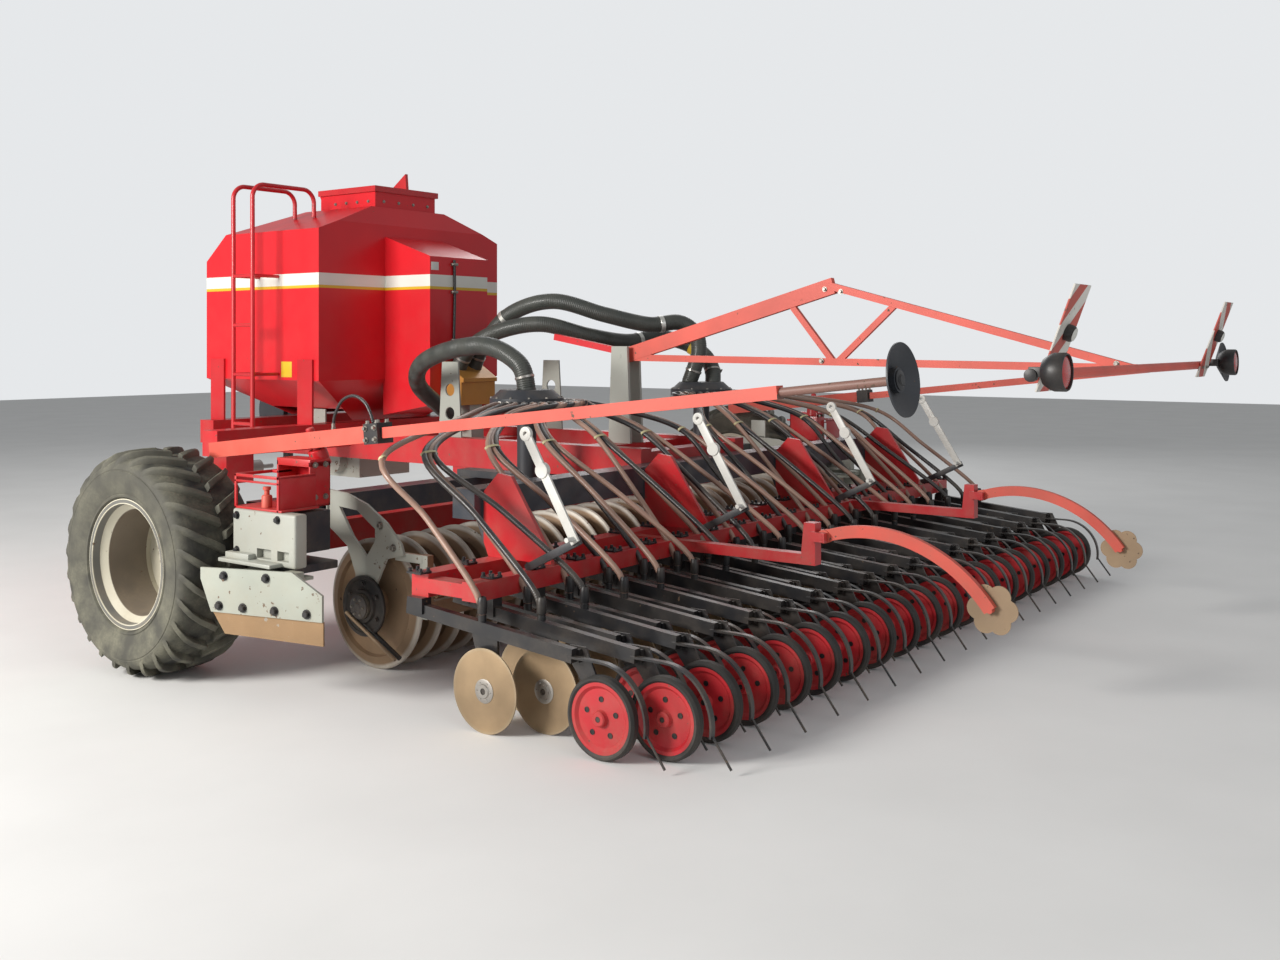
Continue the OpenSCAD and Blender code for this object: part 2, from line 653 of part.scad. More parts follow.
module rim_left() {
    color("ivory") translate([-wheel_x, axle_y, tyre_r]) mirror([1, 0, 0]) rim();
}

module rim_right() {
    color("ivory") translate([wheel_x, axle_y, tyre_r]) rim();
}

// Mast that carries the front foot of the light truss, with its forward strut
mast_y = -480;
foot_z = truss_z + 30;
foot_pin_r = 16;
module mast() {
    color("gray") {
        for (x = [-70, 50]) side_plate(x, 20) polygon([[mast_y - 85, rail_z + rail_h - 20 + seat], [mast_y + 85, rail_z + rail_h - 20 + seat],
            [mast_y + 60, foot_z + 60], [mast_y - 60, foot_z + 60]]);
        bar_x(-72, 144, foot_pin_r, mast_y, foot_z);
        block([-52, mast_y + 40, foot_z - 50], [52, mast_y + 56, foot_z + 60]);
    }
    color("red") strut(0, [mast_y + 50, foot_z + 30], [90, 1640], 40, 40);
}

// Light truss: lower chord, two upper chords, V braces and the cross arm
cross_arm_y = -3540;
cross_arm_z = truss_z - 15;
cross_arm_r = 22;
truss_w = 36;
module light_truss() {
    color("salmon") {
        difference() {
            union() {
                strut(0, [mast_y, foot_z], [-1930, apex_z], truss_w, 90);
                strut(0, [mast_y, foot_z - 10], [-3550, truss_z - 12], truss_w - 4, 40);
                bar_x(-truss_w, 2 * truss_w, 34, mast_y, foot_z);
            }
            bar_x(-80, 160, foot_pin_r + seat, mast_y, foot_z);
        }
        strut(0, [-1900, apex_z], [-3535, truss_z - 14], truss_w + 4, 40);
        strut(0, [-1640, apex_z - 80], [-1930, truss_z], truss_w - 8, 34);
        strut(0, [-2300, apex_z - 110], [-1950, truss_z + 2], truss_w - 12, 34);
        bar_x(-1450, 2900, cross_arm_r, cross_arm_y, cross_arm_z);
    }
}

// Boards lean on the rear of the cross arm, lamps sit at its ends
board_tilt = 17;
module light_boards() {
    lean = cross_arm_r + seat;
    color("ivory") both() translate([1330, cross_arm_y - lean * cos(board_tilt), cross_arm_z - lean * sin(board_tilt)])
        rotate([board_tilt, 0, 0]) translate([-70, -8, -60]) cube([140, 8, 480]);
}

module lamps() {
    color("dimgray") both() {
        bar_x(1450 + seat, 30, 26, cross_arm_y, cross_arm_z);
        block([1440, -rear_y, cross_arm_z - 60], [1530, cross_arm_y - cross_arm_r - seat, cross_arm_z + 50]);
    }
}

// Distributor heads on their posts
head_x = 900;
head_y = -450;
head_z = 1290;
head_r = 210;
outlet_first = -8;
outlet_step = 10;
module seed_heads() {
    color("darkslategray") both() translate([head_x, head_y, 0]) {
        translate([0, 0, beam_z[1]]) cylinder(r = 55, h = head_z - beam_z[1] - 40);
        translate([0, 0, head_z - 60]) cylinder(r = head_r, h = 60);
        translate([0, 0, head_z]) cylinder(r1 = head_r - 10, r2 = 150, h = 46);
        for (i = [0:coulter_count / 2 - 1]) rotate([0, 0, outlet_first - i * outlet_step])
            translate([head_r - 20, 0, head_z - 30]) rotate([0, 90, 0]) cylinder(r = 16, h = 60);
        block([-60, 0, beam_z[1]], [60, beam_y[1] - head_y, beam_z[1] + 40]);
    }
}

// A tube swept along points, with its radius, number of sides and the directions of its two ends
function unit(v) = v / norm(v);
function tangent(p, i) = unit(p[min(i + 1, len(p) - 1)] - p[max(i - 1, 0)]);
function turned(a, t) = unit(a - (a * t) * t);
function normals(t) = [for (i = 0, a = unit(cross(t[0], abs(t[0][2]) > 0.9 ? [1, 0, 0] : [0, 0, 1])); i < len(t);
    i = i + 1, a = i < len(t) ? turned(a, t[i]) : a) a];
module tube(p, r, n, first, last) {
    m = len(p);
    t = [for (i = [0:m - 1]) i == 0 ? first : i == m - 1 ? last : tangent(p, i)];
    a = normals(t);
    points = [for (i = [0:m - 1], k = [0:n - 1]) p[i] + r * (cos(360 * k / n) * a[i] + sin(360 * k / n) * cross(t[i], a[i]))];
    polyhedron(points, concat([[for (k = [0:n - 1]) n - 1 - k]],
        [for (i = [0:m - 2], k = [0:n - 1]) [i * n + k, i * n + (k + 1) % n, (i + 1) * n + (k + 1) % n, (i + 1) * n + k]],
        [[for (k = [0:n - 1]) (m - 1) * n + k]]));
}

// A point of a Catmull-Rom curve through the list p
function spline(p, u) = let (n = len(p) - 1, i = min(floor(u * n), n - 1), t = u * n - i,
    a = p[max(i - 1, 0)], b = p[i], c = p[i + 1], d = p[min(i + 2, n)])
    b + 0.5 * t * (c - a) + t * t * (a - 2.5 * b + 2 * c - 0.5 * d) + t * t * t * (1.5 * (b - c) + 0.5 * (d - a));
function curve(p, n) = [for (i = [0:n]) spline(p, i / n)];

// Main hoses: two over the top to the right head, one to the left head
hose_r = 55;
hose_a = [[75, 890, 1440], [75, 800, 1590], [90, 560, 1800], [170, 250, 1880], [350, -40, 1790], [580, -240, 1725],
    [760, -360, 1740], [860, -430, 1660], [870, -450, 1540], [845, -430, 1430], [830, -400, 1337]];
hose_b = [[-75, 890, 1440], [-75, 780, 1570], [-50, 540, 1680], [60, 260, 1725], [300, 60, 1650], [600, -40, 1610],
    [860, -120, 1640], [1010, -240, 1600], [1050, -370, 1520], [1020, -460, 1420], [985, -490, 1337]];
hose_c = [[-60.3, 865, 1060], [-115, 865, 1065], [-300, 850, 1180], [-560, 780, 1330], [-780, 520, 1470], [-900, 150, 1560],
    [-925, -180, 1580], [-910, -400, 1480], [-900, -450, 1337]];
module main_hoses() {
    up = [0, -sin(duct_tilt), cos(duct_tilt)];
    for (h = [[hose_a, up], [hose_b, up], [hose_c, [-1, 0, 0]]])
        color("dimgray") tube(curve(h[0], 22), hose_r, 12, h[1], [0, 0, -1]);
}

// Seed hoses, one to each coulter
seed_r = 14;
module seed_hoses() {
    color("rosybrown") for (i = [0:coulter_count - 1]) {
        x = row_x(i);
        side = x < 0 ? -1 : 1;
        j = x < 0 ? i : coulter_count - 1 - i;
        a = outlet_first - j * outlet_step;
        out = [side * cos(a), sin(a), 0];
        start = [side * head_x, head_y, head_z - 30] + (head_r + 40 + seat) * out;
        y = -disc_y - (i % 2) * row_step + 40;
        tube(curve([start, start + 230 * out + [0, -30, 30], [0.15 * start[0] + 0.85 * x, -1150, 1190], [x, y + 60, 950], [x, y, 700],
            [x, y, boot_z + seat]], 10), seed_r, 6, out, [0, 0, -1]);
    }
}

// Side marker arm along -Y with its root at the pivot, slope as folded
module marker_arm_form() {
    front_l = 760;
    main_l = 460;
    inner_l = 2520;
    difference() {
        union() {
            color("salmon") {
                translate([-38, -main_l, -38]) cube([76, main_l + front_l, 76]);
                translate([-24, -inner_l, -24]) cube([48, inner_l - main_l + 10, 48]);
                translate([0, -inner_l + 10, 0]) rotate([90, 0, 0]) cylinder(r = 16, h = 430);
            }
            color("black") translate([-46, -main_l - 30, -46]) cube([92, 90, 92]);
        }
    }
}

module marker_arm(side) {
    translate([side * marker_x, -marker_y, marker_z]) difference() {
        rotate([-marker_slope, 0, 0]) marker_arm_form();
        along([side * pin_axis[0], pin_axis[1], pin_axis[2]]) translate([0, 0, -200]) cylinder(r = 19.5 + fit, h = 400);
        along([side * pin_axis[0], pin_axis[1], pin_axis[2]]) translate([0, 0, -46 - 40]) cylinder(r = 50, h = 44);
    }
}

module marker_arm_left() {
    marker_arm(-1);
}

module marker_arm_right() {
    marker_arm(1);
}

module marker_disc(side) {
    color("dimgray") translate([side * marker_x, -marker_y, marker_z]) rotate([-marker_slope, 0, 0])
        translate([0, -2945, 0]) rotate([90, 0, 0]) difference() {
            rotate_extrude() polygon([[0, 0], [40, 0], [marker_disc_d / 2, 40], [marker_disc_d / 2, 46], [42, 8], [42, 30], [0, 30]]);
            translate([0, 0, -1]) cylinder(r = 8 + fit, h = 10);
        }
}

module marker_disc_left() {
    marker_disc(-1);
}

module marker_disc_right() {
    marker_disc(1);
}

// Tramline marker arm: a curved channel from its pivot boss to the stub of the lobed disc
tram_reach = [-800, -250];
tram_bend_r = 700;
tram_arm_h = 56;
tram_arm_w = 30;
module tram_arm(side) {
    chord = norm(tram_reach);
    middle = tram_reach / 2 + [-tram_reach[1], tram_reach[0]] / chord * sqrt(tram_bend_r * tram_bend_r - chord * chord / 4);
    half = asin(chord / 2 / tram_bend_r);
    mean = atan2(-middle[1], -middle[0]) + half;
    color("salmon") translate([side * tram_x, -tram_y, tram_z]) difference() {
        union() {
            bar_x(-24, 48, 32, 0, 0);
            translate([0, middle[0], middle[1]]) rotate([90, 0, 90]) rotate_extrude(angle = 2 * half, start = mean - half, $fn = 96)
                polygon([[tram_bend_r - tram_arm_h / 2, -tram_arm_w / 2], [tram_bend_r + tram_arm_h / 2, -tram_arm_w / 2],
                    [tram_bend_r + tram_arm_h / 2, tram_arm_w / 2], [tram_bend_r - tram_arm_h / 2, tram_arm_w / 2],
                    [tram_bend_r - tram_arm_h / 2, tram_arm_w / 2 - 7], [tram_bend_r + tram_arm_h / 2 - 7, tram_arm_w / 2 - 7],
                    [tram_bend_r + tram_arm_h / 2 - 7, 7 - tram_arm_w / 2], [tram_bend_r - tram_arm_h / 2, 7 - tram_arm_w / 2]]);
            bar_x(-tram_arm_w / 2, tram_arm_w + 24, 12, tram_reach[0], tram_reach[1]);
        }
        bar_x(-40, 80, 14 + fit, 0, 0);
    }
}

module tram_arm_left() {
    tram_arm(-1);
}

module tram_arm_right() {
    tram_arm(1);
}

// Lobed disc: a plate with six rounded lobes and a hub
module tram_disc(side) {
    lobe_r = tram_disc_d * 0.22;
    color("peru") translate([side * tram_x + tram_arm_w / 2 + run, tram_reach[0] - tram_y, tram_z + tram_reach[1]])
        rotate([90, 0, 90]) difference() {
            union() {
                linear_extrude(6) union() {
                    circle(r = tram_disc_d / 2 - lobe_r * 0.9);
                    for (a = [0:60:300]) rotate(a) translate([tram_disc_d / 2 - lobe_r, 0]) circle(r = lobe_r);
                }
                cylinder(r = 24, h = 16);
            }
            translate([0, 0, -1]) cylinder(r = 12 + fit, h = 30);
        }
}

module tram_disc_left() {
    tram_disc(-1);
}

module tram_disc_right() {
    tram_disc(1);
}

// Parking jack beside the right beam of the drawbar
jack_x = 350;
jack_y = 3250;
jack_tube_r = 40;
jack_leg_r = 30;
module jack_tube() {
    color("dimgray") translate([jack_x, jack_y, 0]) difference() {
        translate([0, 0, 420]) cylinder(r = jack_tube_r, h = 640);
        translate([0, 0, 400]) cylinder(r = jack_leg_r + 1, h = 620);
    }
}

module jack_leg() {
    color("silver") translate([jack_x, jack_y, 0]) {
        cylinder(r = 90, h = 12);
        cylinder(r = jack_leg_r, h = 740);
    }
}

main_frame();
axle_stubs();
drawbar();
hopper();
hopper_frame_plates();
metering_box();
fan();
air_duct();
ladder();
lid();
roller_frame();
roller();
side_boxes();
marker_mounts();
levelling_boards();
board_blades();
coulter_frame();
lift_arms();
hose_stands();
coulter_arms_front();
coulter_arms_rear();
discs_front();
discs_rear();
press_rims_front();
press_rims_rear();
press_tyres_front();
press_tyres_rear();
tyre_left();
tyre_right();
rim_left();
rim_right();
mast();
light_truss();
light_boards();
lamps();
seed_heads();
main_hoses();
seed_hoses();
marker_arm_left();
marker_arm_right();
marker_disc_left();
marker_disc_right();
tram_arm_left();
tram_arm_right();
tram_disc_left();
tram_disc_right();
jack_tube();
jack_leg();
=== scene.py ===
"""Dresses the trailed seed drill: finishes, hoses, fasteners, wheels, lamps and the studio.

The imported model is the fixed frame. Lengths are metres in the part's own frame: X to the right,
Y in the direction of travel, Z up from the ground.
"""
from __future__ import annotations

import json
import logging
import math
from dataclasses import dataclass, field, replace
from enum import Enum
from typing import Callable, Iterable, Sequence

import bmesh
import bpy
from mathutils import Matrix, Vector

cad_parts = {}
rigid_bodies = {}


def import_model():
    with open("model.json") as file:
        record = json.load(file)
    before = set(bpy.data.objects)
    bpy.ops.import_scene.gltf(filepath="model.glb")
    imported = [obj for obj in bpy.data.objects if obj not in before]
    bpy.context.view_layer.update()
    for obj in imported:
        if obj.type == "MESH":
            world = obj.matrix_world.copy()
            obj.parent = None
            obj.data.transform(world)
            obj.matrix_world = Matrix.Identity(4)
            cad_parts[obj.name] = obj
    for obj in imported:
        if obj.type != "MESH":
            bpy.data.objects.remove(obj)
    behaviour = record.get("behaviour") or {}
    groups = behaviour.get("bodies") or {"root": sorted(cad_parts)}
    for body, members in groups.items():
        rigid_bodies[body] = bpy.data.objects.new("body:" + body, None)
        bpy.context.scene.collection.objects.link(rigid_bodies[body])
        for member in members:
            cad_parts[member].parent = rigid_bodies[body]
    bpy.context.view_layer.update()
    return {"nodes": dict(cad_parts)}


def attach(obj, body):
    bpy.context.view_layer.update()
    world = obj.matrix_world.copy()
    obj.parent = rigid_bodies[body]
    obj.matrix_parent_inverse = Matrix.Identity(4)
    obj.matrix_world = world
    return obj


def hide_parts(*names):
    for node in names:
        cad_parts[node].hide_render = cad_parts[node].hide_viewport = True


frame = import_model()

LOG = logging.getLogger("seed_drill")

Color = tuple[float, float, float]
Point = tuple[float, float, float]
Span = tuple[float, float]
Profile = Sequence[tuple[float, float]]
Spots = list[tuple[Sequence[float], Vector]]

FAR = 9.0
COULTERS = 36
ROW_PITCH = 0.142
DISC_Y = -1.64
PRESS_Y = -2.23
ROW_STEP = 0.2
DISC_R = 0.175
PRESS_R = 0.1625
AXLE_Y = 0.33
TYRE_R = 0.545
WHEEL_X = 2.715
ROLLER_Y = -0.49
ROLLER_R = 0.32
HEAD = Vector((0.9, -0.45, 1.29))
MARKER_PIVOT = Vector((2.44, -0.48, 1.146))
MARKER_SLOPE = math.radians(6.4)
TRAM_X = 0.994
CROSS_ARM = (-3.54, 1.475)
BOARD_X = 1.33
BOARD_TILT = math.radians(20.0)
BOARD_LEAN = 0.0223
BOARD_THICK = 0.008


class Axis(Enum):
    """Main directions of the part's frame."""

    X = Vector((1.0, 0.0, 0.0))
    Y = Vector((0.0, 1.0, 0.0))
    Z = Vector((0.0, 0.0, 1.0))


X, Y, Z = (axis.value for axis in Axis)
DOWN = Vector((0.0, 0.0, -1.0))
BOTH = (Matrix.Identity(4), Matrix.Scale(-1, 4, X))


class Side(Enum):
    """Left or right half of the machine, with the sign of X there."""

    LEFT = -1
    RIGHT = 1

    @property
    def word(self) -> str:
        """Lower-case name used in node and body names."""
        return self.name.lower()

    @property
    def way(self) -> Vector:
        """Direction out of the machine on this side."""
        return X * self.value

    def at(self, x: float, y: float, z: float) -> Vector:
        """The point of this half at a distance x from the middle plane."""
        return Vector((self.value * x, y, z))


def row_x(index: int) -> float:
    """Place of a seed row across the machine.

    Args:
        index: Row number, from 0 at the left.

    Returns:
        The X of the row's middle plane.
    """
    return (index - (COULTERS - 1) / 2) * ROW_PITCH


def aim(way: Sequence[float], up: str = "Y") -> Matrix:
    """Turn that lays the Z axis along a direction."""
    return Vector(way).to_track_quat("Z", up).to_matrix().to_4x4()


def circle(radius: float, count: int, first: float = 0.0) -> list[tuple[float, float]]:
    """Evenly spaced points of a circle.

    Args:
        radius: The circle's radius.
        count: Number of points.
        first: Angle of the first one, in degrees.

    Returns:
        The two coordinates of each point.
    """
    turns = [math.radians(first + 360.0 * k / count) for k in range(count)]
    return [(radius * math.cos(turn), radius * math.sin(turn)) for turn in turns]


def tube(inner: float, outer: float, low: float, high: float) -> Profile:
    """Closed outline of a plain ring, for Bench.spun."""
    return [(inner, low), (outer, low), (outer, high), (inner, high), (inner, low)]


def rod(radius: float, low: float, high: float) -> Profile:
    """Outline of a plain solid disc or rod, for Bench.spun."""
    return [(0.0, low), (radius, low), (radius, high), (0.0, high)]


def vectors(*points: Point) -> list[Vector]:
    """Points given in millimetres as vectors in metres."""
    return [Vector(point) / 1000 for point in points]


class Graph:
    """Short calls for building a node tree."""

    def __init__(self, tree: bpy.types.NodeTree) -> None:
        """Keeps the tree that the calls write to."""
        self.tree = tree

    def node(self, kind: str, **values: object) -> bpy.types.Node:
        """Adds a node of a type and sets properties on it."""
        made = self.tree.nodes.new(kind)
        for key, value in values.items():
            setattr(made, key, value)
        return made

    def first(self, kind: str) -> bpy.types.Node:
        """The tree's first node of a type."""
        return next(node for node in self.tree.nodes if node.type == kind)

    def feed(self, socket: bpy.types.NodeSocket, source: object) -> None:
        """Links an output to a socket, or sets its value.

        Args:
            socket: The input.
            source: An output socket, a number, a vector or a colour.
        """
        if isinstance(source, bpy.types.NodeSocket):
            self.tree.links.new(source, socket)
        elif isinstance(source, tuple) and len(source) == 3 and socket.type == "RGBA":
            socket.default_value = (*source, 1.0)
        else:
            socket.default_value = source

    def fill(self, node: bpy.types.Node, values: dict[str, object]) -> bpy.types.NodeOutputs:
        """Feeds several named inputs of a node, and returns its outputs."""
        for key, value in values.items():
            self.feed(node.inputs[key], value)
        return node.outputs

    def math(self, operation: str, a: object, b: object = 0.0, clamp: bool = False) -> bpy.types.NodeSocket:
        """Adds a Math node.

        Args:
            operation: Name of the operation.
            a: First value or socket.
            b: Second value or socket.
            clamp: Whether the result is kept from 0 to 1.

        Returns:
            The result's socket.
        """
        made = self.node("ShaderNodeMath", operation=operation, use_clamp=clamp)
        self.feed(made.inputs[0], a)
        self.feed(made.inputs[1], b)
        return made.outputs[0]

    def times(self, a: object, b: object) -> bpy.types.NodeSocket:
        """Product of two values."""
        return self.math("MULTIPLY", a, b)

    def mix(self, factor: object, a: object, b: object) -> bpy.types.NodeSocket:
        """Adds a colour mix.

        Args:
            factor: Share of the second colour.
            a: First colour.
            b: Second colour.

        Returns:
            The mixed colour's socket.
        """
        made = self.node("ShaderNodeMix", data_type="RGBA")
        self.feed(made.inputs["Factor"], factor)
        for socket, colour in zip((socket for socket in made.inputs if socket.type == "RGBA"), (a, b)):
            self.feed(socket, colour)
        return next(socket for socket in made.outputs if socket.type == "RGBA")

    def span(self, value: object, low: float, high: float, start: float = 0.0,
             end: float = 1.0) -> bpy.types.NodeSocket:
        """Adds a clamped Map Range node.

        Args:
            value: The value to map.
            low: Value that maps to start.
            high: Value that maps to end.
            start: First result.
            end: Last result.

        Returns:
            The mapped value's socket.
        """
        made = self.node("ShaderNodeMapRange", clamp=True)
        for socket, source in zip(made.inputs, (value, low, high, start, end)):
            self.feed(socket, source)
        return made.outputs[0]

    def noise(self, scale: object, detail: float) -> bpy.types.NodeSocket:
        """Noise over the part's frame, of a scale and a number of octaves."""
        made = self.node("ShaderNodeTexNoise")
        return self.fill(made, {"Vector": self.place(), "Scale": scale, "Detail": detail})["Fac"]

    def place(self) -> bpy.types.NodeSocket:
        """Object coordinates, which are the part's frame."""
        return self.node("ShaderNodeTexCoord").outputs["Object"]

    def split(self, vector: bpy.types.NodeSocket) -> Sequence[bpy.types.NodeSocket]:
        """Separate X, Y and Z of a vector."""
        made = self.node("ShaderNodeSeparateXYZ")
        self.feed(made.inputs[0], vector)
        return made.outputs

    def effect(self, name: str, **values: object) -> bpy.types.NodeOutputs:
        """Adds a shared effect with values for its inputs, and returns its outputs."""
        return self.fill(self.node("ShaderNodeGroup", node_tree=EFFECTS.group(name)), values)


class EffectLibrary:
    """Builds each shared effect once, as a node group."""

    def __init__(self) -> None:
        """Starts with no group made."""
        self.made: dict[str, bpy.types.NodeTree] = {}

    def group(self, name: str) -> bpy.types.NodeTree:
        """The group of that name, built when first asked for.

        Args:
            name: One of soil, chips, drift, grain and inside_box.

        Returns:
            The node group.
        """
        if name not in self.made:
            self.made[name] = getattr(self, f"_{name}")()
        return self.made[name]

    @staticmethod
    def _start(name: str, ins: dict[str, object], *outs: str) -> tuple[Graph, object, object]:
        """Opens a new group with named sockets.

        Args:
            name: The group's name.
            ins: Input name to default value; 4 numbers are a colour and 3 a vector.
            *outs: Output names; Color is a colour and the others are numbers.

        Returns:
            The graph, the input node's outputs and the output node's inputs.
        """
        tree = bpy.data.node_groups.new(name, "ShaderNodeTree")
        kinds = {4: "NodeSocketColor", 3: "NodeSocketVector", 1: "NodeSocketFloat"}
        for key, value in ins.items():
            kind = kinds[len(value) if isinstance(value, tuple) else 1]
            tree.interface.new_socket(key, in_out="INPUT", socket_type=kind).default_value = value
        for key in outs:
            tree.interface.new_socket(key, in_out="OUTPUT", socket_type=kinds[4 if key == "Color" else 1])
        graph = Graph(tree)
        return graph, graph.node("NodeGroupInput").outputs, graph.node("NodeGroupOutput").inputs

    def _soil(self) -> bpy.types.NodeTree:
        """Dry soil that lies on upward faces and thickens towards the ground."""
        graph, ins, outs = self._start(
            "SoilFilm", {"Color": (0.5, 0.5, 0.5, 1), "Soil": (0.2, 0.16, 0.11, 1), "Amount": 0.5, "Reach": 1.0,
                         "Scale": 9.0}, "Color", "Mask")
        height = graph.split(graph.place())[2]
        low = graph.math("SUBTRACT", 1.0, graph.math("DIVIDE", height, ins["Reach"]), clamp=True)
        up = graph.span(graph.split(graph.node("ShaderNodeNewGeometry").outputs["Normal"])[2], 0.3, 0.95)
        patches = graph.span(graph.noise(ins["Scale"], 6.0), 0.36, 0.66)
        fine = graph.span(graph.noise(85.0, 3.0), 0.3, 0.7, 0.55, 1.0)
        cover = graph.math("ADD", graph.times(low, 0.75), graph.times(up, 0.45))
        mask = graph.math("MULTIPLY", graph.times(cover, graph.times(patches, fine)), ins["Amount"], True)
        graph.feed(outs["Color"], graph.mix(mask, ins["Color"], ins["Soil"]))
        graph.feed(outs["Mask"], mask)
        return graph.tree

    def _chips(self) -> bpy.types.NodeTree:
        """Small chips and scrapes through a paint film."""
        graph, ins, outs = self._start(
            "PaintChips", {"Color": (0.5, 0.5, 0.5, 1), "Under": (0.1, 0.07, 0.05, 1), "Amount": 0.3, "Scale": 40.0},
            "Color", "Mask")
        where = graph.span(graph.noise(3.0, 2.0), 0.42, 0.7)
        level = graph.math("SUBTRACT", 0.74, graph.times(graph.times(where, ins["Amount"]), 0.22))
        spots = graph.math("SUBTRACT", graph.noise(ins["Scale"], 8.0), level)
        mask = graph.math("MULTIPLY", spots, 30.0, True)
        graph.feed(outs["Color"], graph.mix(mask, ins["Color"], ins["Under"]))
        graph.feed(outs["Mask"], mask)
        return graph.tree

    def _drift(self) -> bpy.types.NodeTree:
        """Slow change of a colour's brightness over a surface, as from sun and weather."""
        graph, ins, outs = self._start(
            "ColorDrift", {"Color": (0.5, 0.5, 0.5, 1), "Spread": 0.2, "Scale": 2.5}, "Color")
        slow = graph.span(graph.noise(ins["Scale"], 5.0), 0.3, 0.7, -0.5, 0.5)
        value = graph.math("ADD", 1.0, graph.times(slow, ins["Spread"]))
        hue = graph.fill(graph.node("ShaderNodeHueSaturation"), {"Color": ins["Color"], "Value": value})
        graph.feed(outs["Color"], hue[0])
        return graph.tree

    def _grain(self) -> bpy.types.NodeTree:
        """Height of a fine uneven surface, with a broader waviness under it."""
        graph, ins, outs = self._start("SurfaceGrain", {"Scale": 120.0, "Coarse": 0.4}, "Height")
        broad = graph.noise(graph.times(ins["Scale"], 0.08), 3.0)
        fine = graph.noise(ins["Scale"], 5.0)
        graph.feed(outs["Height"], graph.math("ADD", fine, graph.times(broad, ins["Coarse"])))
        return graph.tree

    def _inside_box(self) -> bpy.types.NodeTree:
        """Mask of the points inside a box of the part's frame, on both sides of the middle."""
        graph, ins, outs = self._start("InsideBox", {"Low": (-FAR,) * 3, "High": (FAR,) * 3}, "Mask")
        x, y, z = graph.split(graph.place())
        mask: object = 1.0
        for value, least, most in zip((graph.math("ABSOLUTE", x), y, z), graph.split(ins["Low"]),
                                      graph.split(ins["High"])):
            inside = graph.times(graph.math("GREATER_THAN", value, least), graph.math("LESS_THAN", value, most))
            mask = graph.times(mask, inside)
        graph.feed(outs["Mask"], mask)
        return graph.tree


EFFECTS = EffectLibrary()

SOIL: Color = (0.235, 0.18, 0.125)
PALE_SOIL: Color = (0.36, 0.29, 0.2)
UNDERCOAT: Color = (0.12, 0.075, 0.05)
BRIGHT_RED: Color = (0.62, 0.008, 0.016)
FRAME_RED: Color = (0.5, 0.012, 0.018)
FADED_RED: Color = (0.66, 0.09, 0.06)
BRACKET_GREY: Color = (0.36, 0.37, 0.33)
# Painted shade: a dark blue-grey that stands for the shadow on the roller frame and the lift arms.
PAINTED_SHADE_BLUE_GREY: Color = (0.045, 0.055, 0.07)
DARK_GREY: Color = (0.03, 0.033, 0.04)
BLACK: Color = (0.014, 0.014, 0.016)
ALL: Span = (-FAR, FAR)


@dataclass(frozen=True)
class Region:
    """A box of the part's frame that has its own colour, mirrored about the middle."""

    color: Color
    x: Span = ALL
    y: Span = ALL
    z: Span = ALL


@dataclass(frozen=True)
class Finish:
    """Painted, moulded or bare surface, with soil, chips and a fine grain."""

    name: str
    color: Color
    roughness: float = 0.45
    metallic: float = 0.0
    coat: float = 0.0
    coat_roughness: float = 0.12
    drift: float = 0.25
    soil: float = 0.5
    soil_color: Color = SOIL
    soil_reach: float = 1.2
    chips: float = 0.4
    under: Color = UNDERCOAT
    grain: float = 140.0
    bump: float = 0.12
    depth: float = 0.002
    regions: tuple[Region, ...] = ()

    def pattern(self, graph: Graph) -> object:
        """The clean colour or colour socket before weather, with its regions."""
        colour: object = self.color
        for region in self.regions:
            low, high = zip(region.x, region.y, region.z)
            colour = graph.mix(graph.effect("inside_box", Low=low, High=high)["Mask"], colour, region.color)
        return colour

    def relief(self, graph: Graph) -> bpy.types.NodeSocket:
        """Height of the surface grain."""
        return graph.effect("grain", Scale=self.grain)["Height"]

    def build(self) -> bpy.types.Material:
        """Makes the material and returns it."""
        material = bpy.data.materials.new(self.name)
        material.use_nodes = True
        graph = Graph(material.node_tree)
        drift = graph.effect("drift", Color=self.pattern(graph), Spread=self.drift)
        chips = graph.effect("chips", Color=drift["Color"], Under=self.under, Amount=self.chips)
        soil = graph.effect("soil", Color=chips["Color"], Soil=self.soil_color, Amount=self.soil,
                            Reach=self.soil_reach)
        dull = graph.math("ADD", graph.times(soil["Mask"], 0.4), graph.times(chips["Mask"], 0.25))
        bump = graph.fill(graph.node("ShaderNodeBump"), {"Strength": self.bump, "Distance": self.depth,
                                                         "Height": self.relief(graph)})
        graph.fill(graph.first("BSDF_PRINCIPLED"), {
            "Base Color": soil["Color"], "Roughness": graph.math("ADD", self.roughness, dull, True),
            "Metallic": self.metallic, "Coat Weight": self.coat, "Coat Roughness": self.coat_roughness,
            "Normal": bump[0]})
        return material


@dataclass(frozen=True)
class TurnedFinish(Finish):
    """Finish of a disc or ring that turns about X: its rim has another colour and fine circles run round it."""

    centre: Span = (0.0, 0.0)
    rim_radius: float = 0.1
    rim_color: Color = (0.5, 0.45, 0.38)
    rim_soft: float = 0.01
    circles: float = 1900.0

    def _radius(self, graph: Graph) -> bpy.types.NodeSocket:
        """Distance from the axis."""
        place = graph.split(graph.place())
        y = graph.math("SUBTRACT", place[1], self.centre[0])
        z = graph.math("SUBTRACT", place[2], self.centre[1])
        return graph.math("SQRT", graph.math("ADD", graph.times(y, y), graph.times(z, z)))

    def pattern(self, graph: Graph) -> object:
        """The body's colour with the rim's colour past its radius."""
        rim = graph.span(self._radius(graph), self.rim_radius - self.rim_soft, self.rim_radius + self.rim_soft)
        return graph.mix(rim, Finish.pattern(self, graph), self.rim_color)

    def relief(self, graph: Graph) -> bpy.types.NodeSocket:
        """Fine circles on top of the grain."""
        circles = graph.math("SINE", graph.times(self._radius(graph), self.circles))
        return graph.math("ADD", Finish.relief(self, graph), graph.times(circles, 0.12))


